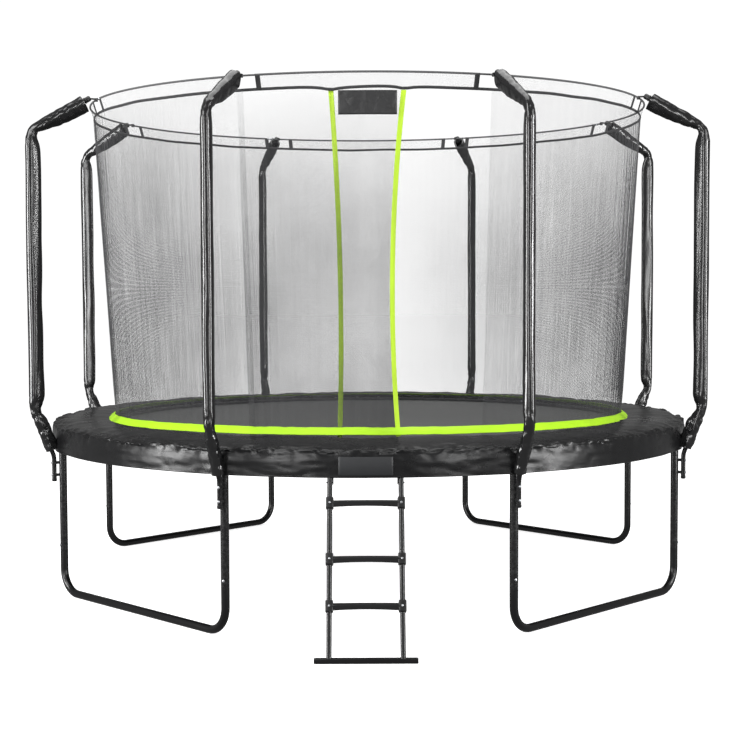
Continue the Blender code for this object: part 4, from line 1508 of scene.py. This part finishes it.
class ModelLadder(bpy.types.Operator):
    """Makes the ladder: rails, arched treads with moulded collars, foot bar and bolts"""

    bl_idname = "trampoline.ladder"
    bl_label = "Ladder"

    def execute(self, context):
        lines = {side: rail_line(side) for side in ("left", "right")}
        for side, (foot, top) in lines.items():
            name = f"ladder_rail_{side}"
            rail = bent_tube(f"{name}_tube", LADDER_TUBE, [foot, top], wall=0.0015, ring_gap=0.1)
            finish_piece(rail, "steel", "ladder", name)
            heading = (top - foot).normalized()
            base = top - heading * 0.006
            plug = knob(f"{name}_plug", LADDER_TUBE + 0.0008, base, heading, 0.010, 0.003)
            finish_piece(plug, "plastic", "ladder")
        lean = (lines["left"][1] - lines["left"][0]).normalized()
        tilt = atan2(lean.y, lean.z)
        for number in range(1, STEPS + 1):
            self.model_step(number, lines, tilt)
        size = box_size("ladder_foot")
        bar = block("ladder_foot_bar", (size.x, size.y, size.z), LADDER_FOOT, 0.0035, 3)
        caps = []
        for end in (-1, 1):
            middle = LADDER_FOOT + Vector((end * (size.x / 2 + 0.001), 0, 0))
            caps.append(block("foot_cap", (0.004, size.y * 0.94, size.z * 0.94), middle, 0.0015))
        finish_piece(bar, "steel", "ladder", "ladder_foot")
        finish_piece(join("ladder_foot_caps", caps), "plastic", "ladder")
        for side in ("left", "right"):
            dress(frame["nodes"][f"ladder_hook_{side}"], "steel")
        return {"FINISHED"}

    def model_step(self, number, lines, tilt):
        middle = box_middle(f"ladder_step_{number}")
        left, right = lines["left"][0].x, lines["right"][0].x
        reach = (right - left) / 2
        bpy.ops.object.select_all(action="DESELECT")
        bpy.ops.mesh.primitive_cube_add(size=1.0, location=middle)
        edit_all()
        bpy.ops.transform.resize(value=(2 * reach - 0.02, TREAD_DEPTH, TREAD_THICK))
        bpy.ops.mesh.subdivide(number_cuts=9)
        tread = close_piece("tread", 50.0)
        for vertex in tread.data.vertices:
            share = (vertex.co.x - middle.x) / reach
            lower_face = vertex.co.z < middle.z
            vertex.co.z += 0.0015 * (1 - share * share)
            if lower_face:
                vertex.co.z -= 0.0045 * share * share + 0.001
            rib = abs((vertex.co.y - middle.y) / (TREAD_DEPTH / 2))
            if vertex.co.z > middle.z:
                vertex.co.z += 0.0012 * cos(rib * pi * 3)
        apply_modifier(tread, "BEVEL", width=0.0025, segments=2, limit_method="ANGLE")
        collars, bolts = [], []
        for side in (left, right):
            collar = block("collar", (0.036, TREAD_DEPTH, 0.055), (0, 0, 0), 0.005, 3)
            place = Vector((side, middle.y, middle.z))
            collar.data.transform(Matrix.Translation(place) @ Matrix.Rotation(-tilt, 4, "X"))
            collars.append(collar)
            face = Matrix.Rotation(-tilt, 3, "X") @ Vector((0, -1, 0))
            bolts.append(bolt_head("step_bolt", place + face * 0.0195, face, 0.0036))
        step = join(f"ladder_step_{number}_tread", [tread, *collars])
        finish_piece(step, "tread", "ladder", f"ladder_step_{number}")
        bolt = join(f"ladder_step_{number}_bolts", bolts)
        finish_piece(bolt, "zinc", "ladder")


# ---- stage ---------------------------------------------------------------------------------

LAMPS = (  # name, place, width, height and watts
    ("key", (-4.5, -6.0, 6.5), 4.0, 4.0, 330.0),
    ("fill", (6.0, -5.0, 5.0), 4.0, 4.0, 160.0),
    ("top", (0.0, 0.5, 7.5), 6.0, 6.0, 300.0),
    ("left_strip", (-7.0, -3.4, 1.9), 1.4, 4.0, 430.0),
    ("right_strip", (7.0, -4.2, 1.9), 1.0, 4.0, 340.0),
    ("left_panel", (-4.6, -9.5, 2.2), 2.0, 3.6, 240.0),
    ("right_panel", (4.8, -9.5, 2.2), 1.5, 3.6, 170.0),
)
LAMP_AIM = Vector((0, AXIS.y, 1.2))
SKY_LIGHT, SKY_SEEN = 0.26, 1.05
CAMERA_PLACE = (-0.013, AXIS.y - 8.53, 1.695)
CAMERA_DOWN, CAMERA_ROLL = 3.14, -0.24
LENS = 70.0


class SetStage(bpy.types.Operator):
    """Adds the pale floor, the soft studio light and the camera"""

    bl_idname = "trampoline.stage"
    bl_label = "Stage"

    def execute(self, context):
        scene = context.scene
        scene.view_settings.view_transform = "Standard"
        clear_selection()
        bpy.ops.mesh.primitive_plane_add(size=160.0, location=(0, 0, -0.0005))
        edit_all()
        bpy.ops.mesh.subdivide(number_cuts=7)
        bpy.ops.object.mode_set(mode="OBJECT")
        floor = context.object
        floor.name = "studio_floor"
        material, tree, shader = new_material("studio_floor")
        place = add_node(tree, "ShaderNodeTexCoord").outputs["Object"]
        grain = noise_texture(tree, place, 3.0)["Fac"]
        feed(tree, shader, {
            "Base Color": mixed(tree, grain, (0.90, 0.90, 0.90, 1), (0.93, 0.93, 0.93, 1)),
            "Roughness": 0.9,
            "Specular IOR Level": 0.0,
            "Emission Color": (1, 1, 1, 1),
            "Emission Strength": 0.8,
        })
        floor.data.materials.append(material)
        floor.visible_glossy = False
        floor.visible_diffuse = False
        world = bpy.data.worlds.new("studio")
        scene.world = world
        world.use_nodes = True
        sky = world.node_tree
        seen = add_node(sky, "ShaderNodeLightPath").outputs["Is Camera Ray"]
        strength = between(sky, seen, SKY_LIGHT, SKY_SEEN)
        feed(sky, sky.nodes["Background"], {"Color": (1, 1, 1, 1), "Strength": strength})
        for name, place, wide, tall, power in LAMPS:
            lamp = bpy.data.lights.new(name, "AREA")
            lamp.shape = "RECTANGLE"
            lamp.size = wide
            lamp.size_y = tall
            lamp.energy = power
            light = bpy.data.objects.new(name, lamp)
            light.location = place
            light.visible_camera = False
            aim = LAMP_AIM - Vector(place)
            light.rotation_euler = aim.to_track_quat("-Z", "Y").to_euler()
            scene.collection.objects.link(light)
        lens = bpy.data.cameras.new("camera")
        lens.lens = LENS
        lens.sensor_width = 36.0
        lens.clip_end = 300.0
        camera = bpy.data.objects.new("camera", lens)
        camera.matrix_world = (
            Matrix.Translation(CAMERA_PLACE)
            @ Matrix.Rotation(radians(90 - CAMERA_DOWN), 4, "X")
            @ Matrix.Rotation(radians(CAMERA_ROLL), 4, "Z")
        )
        scene.collection.objects.link(camera)
        scene.camera = camera
        return {"FINISHED"}


# ---- panel, registration and main ----------------------------------------------------------

PIECE_OPERATORS = (
    ModelFrameRails, ModelLegPosts, ModelLegBases, ModelNetPoles, ModelPoleSleeves, ModelTipCaps,
    ModelFasteners, ModelJumpingMat, ModelSprings, ModelSafetyPad, ModelNetWall,
    ModelEntranceFlaps, ModelNetBands, ModelTopHoop, ModelNetPatch, ModelLadder, SetStage,
)


class TRAMPOLINE_PT_pieces(bpy.types.Panel):
    """Lists the trampoline's pieces in the sidebar"""

    bl_label = "Trampoline"
    bl_space_type = "VIEW_3D"
    bl_region_type = "UI"
    bl_category = "Trampoline"

    def draw(self, context):
        for group in (looks(), tubes()):
            for name in type(group).__annotations__:
                self.layout.prop(group, name)
        for operator in PIECE_OPERATORS:
            self.layout.operator(operator.bl_idname)


CLASSES = (TrampolineLooks, TrampolineTubes, *PIECE_OPERATORS, TRAMPOLINE_PT_pieces)


def register():
    for each in CLASSES:
        bpy.utils.register_class(each)
    bpy.types.Scene.trampoline_looks = bpy.props.PointerProperty(type=TrampolineLooks)
    bpy.types.Scene.trampoline_tubes = bpy.props.PointerProperty(type=TrampolineTubes)


def unregister():
    del bpy.types.Scene.trampoline_looks
    del bpy.types.Scene.trampoline_tubes
    for each in reversed(CLASSES):
        bpy.utils.unregister_class(each)


def main():
    register()
    make_materials(looks())
    for operator in PIECE_OPERATORS:
        getattr(bpy.ops.trampoline, operator.bl_idname.split(".")[1])()


if __name__ == "__main__":
    main()
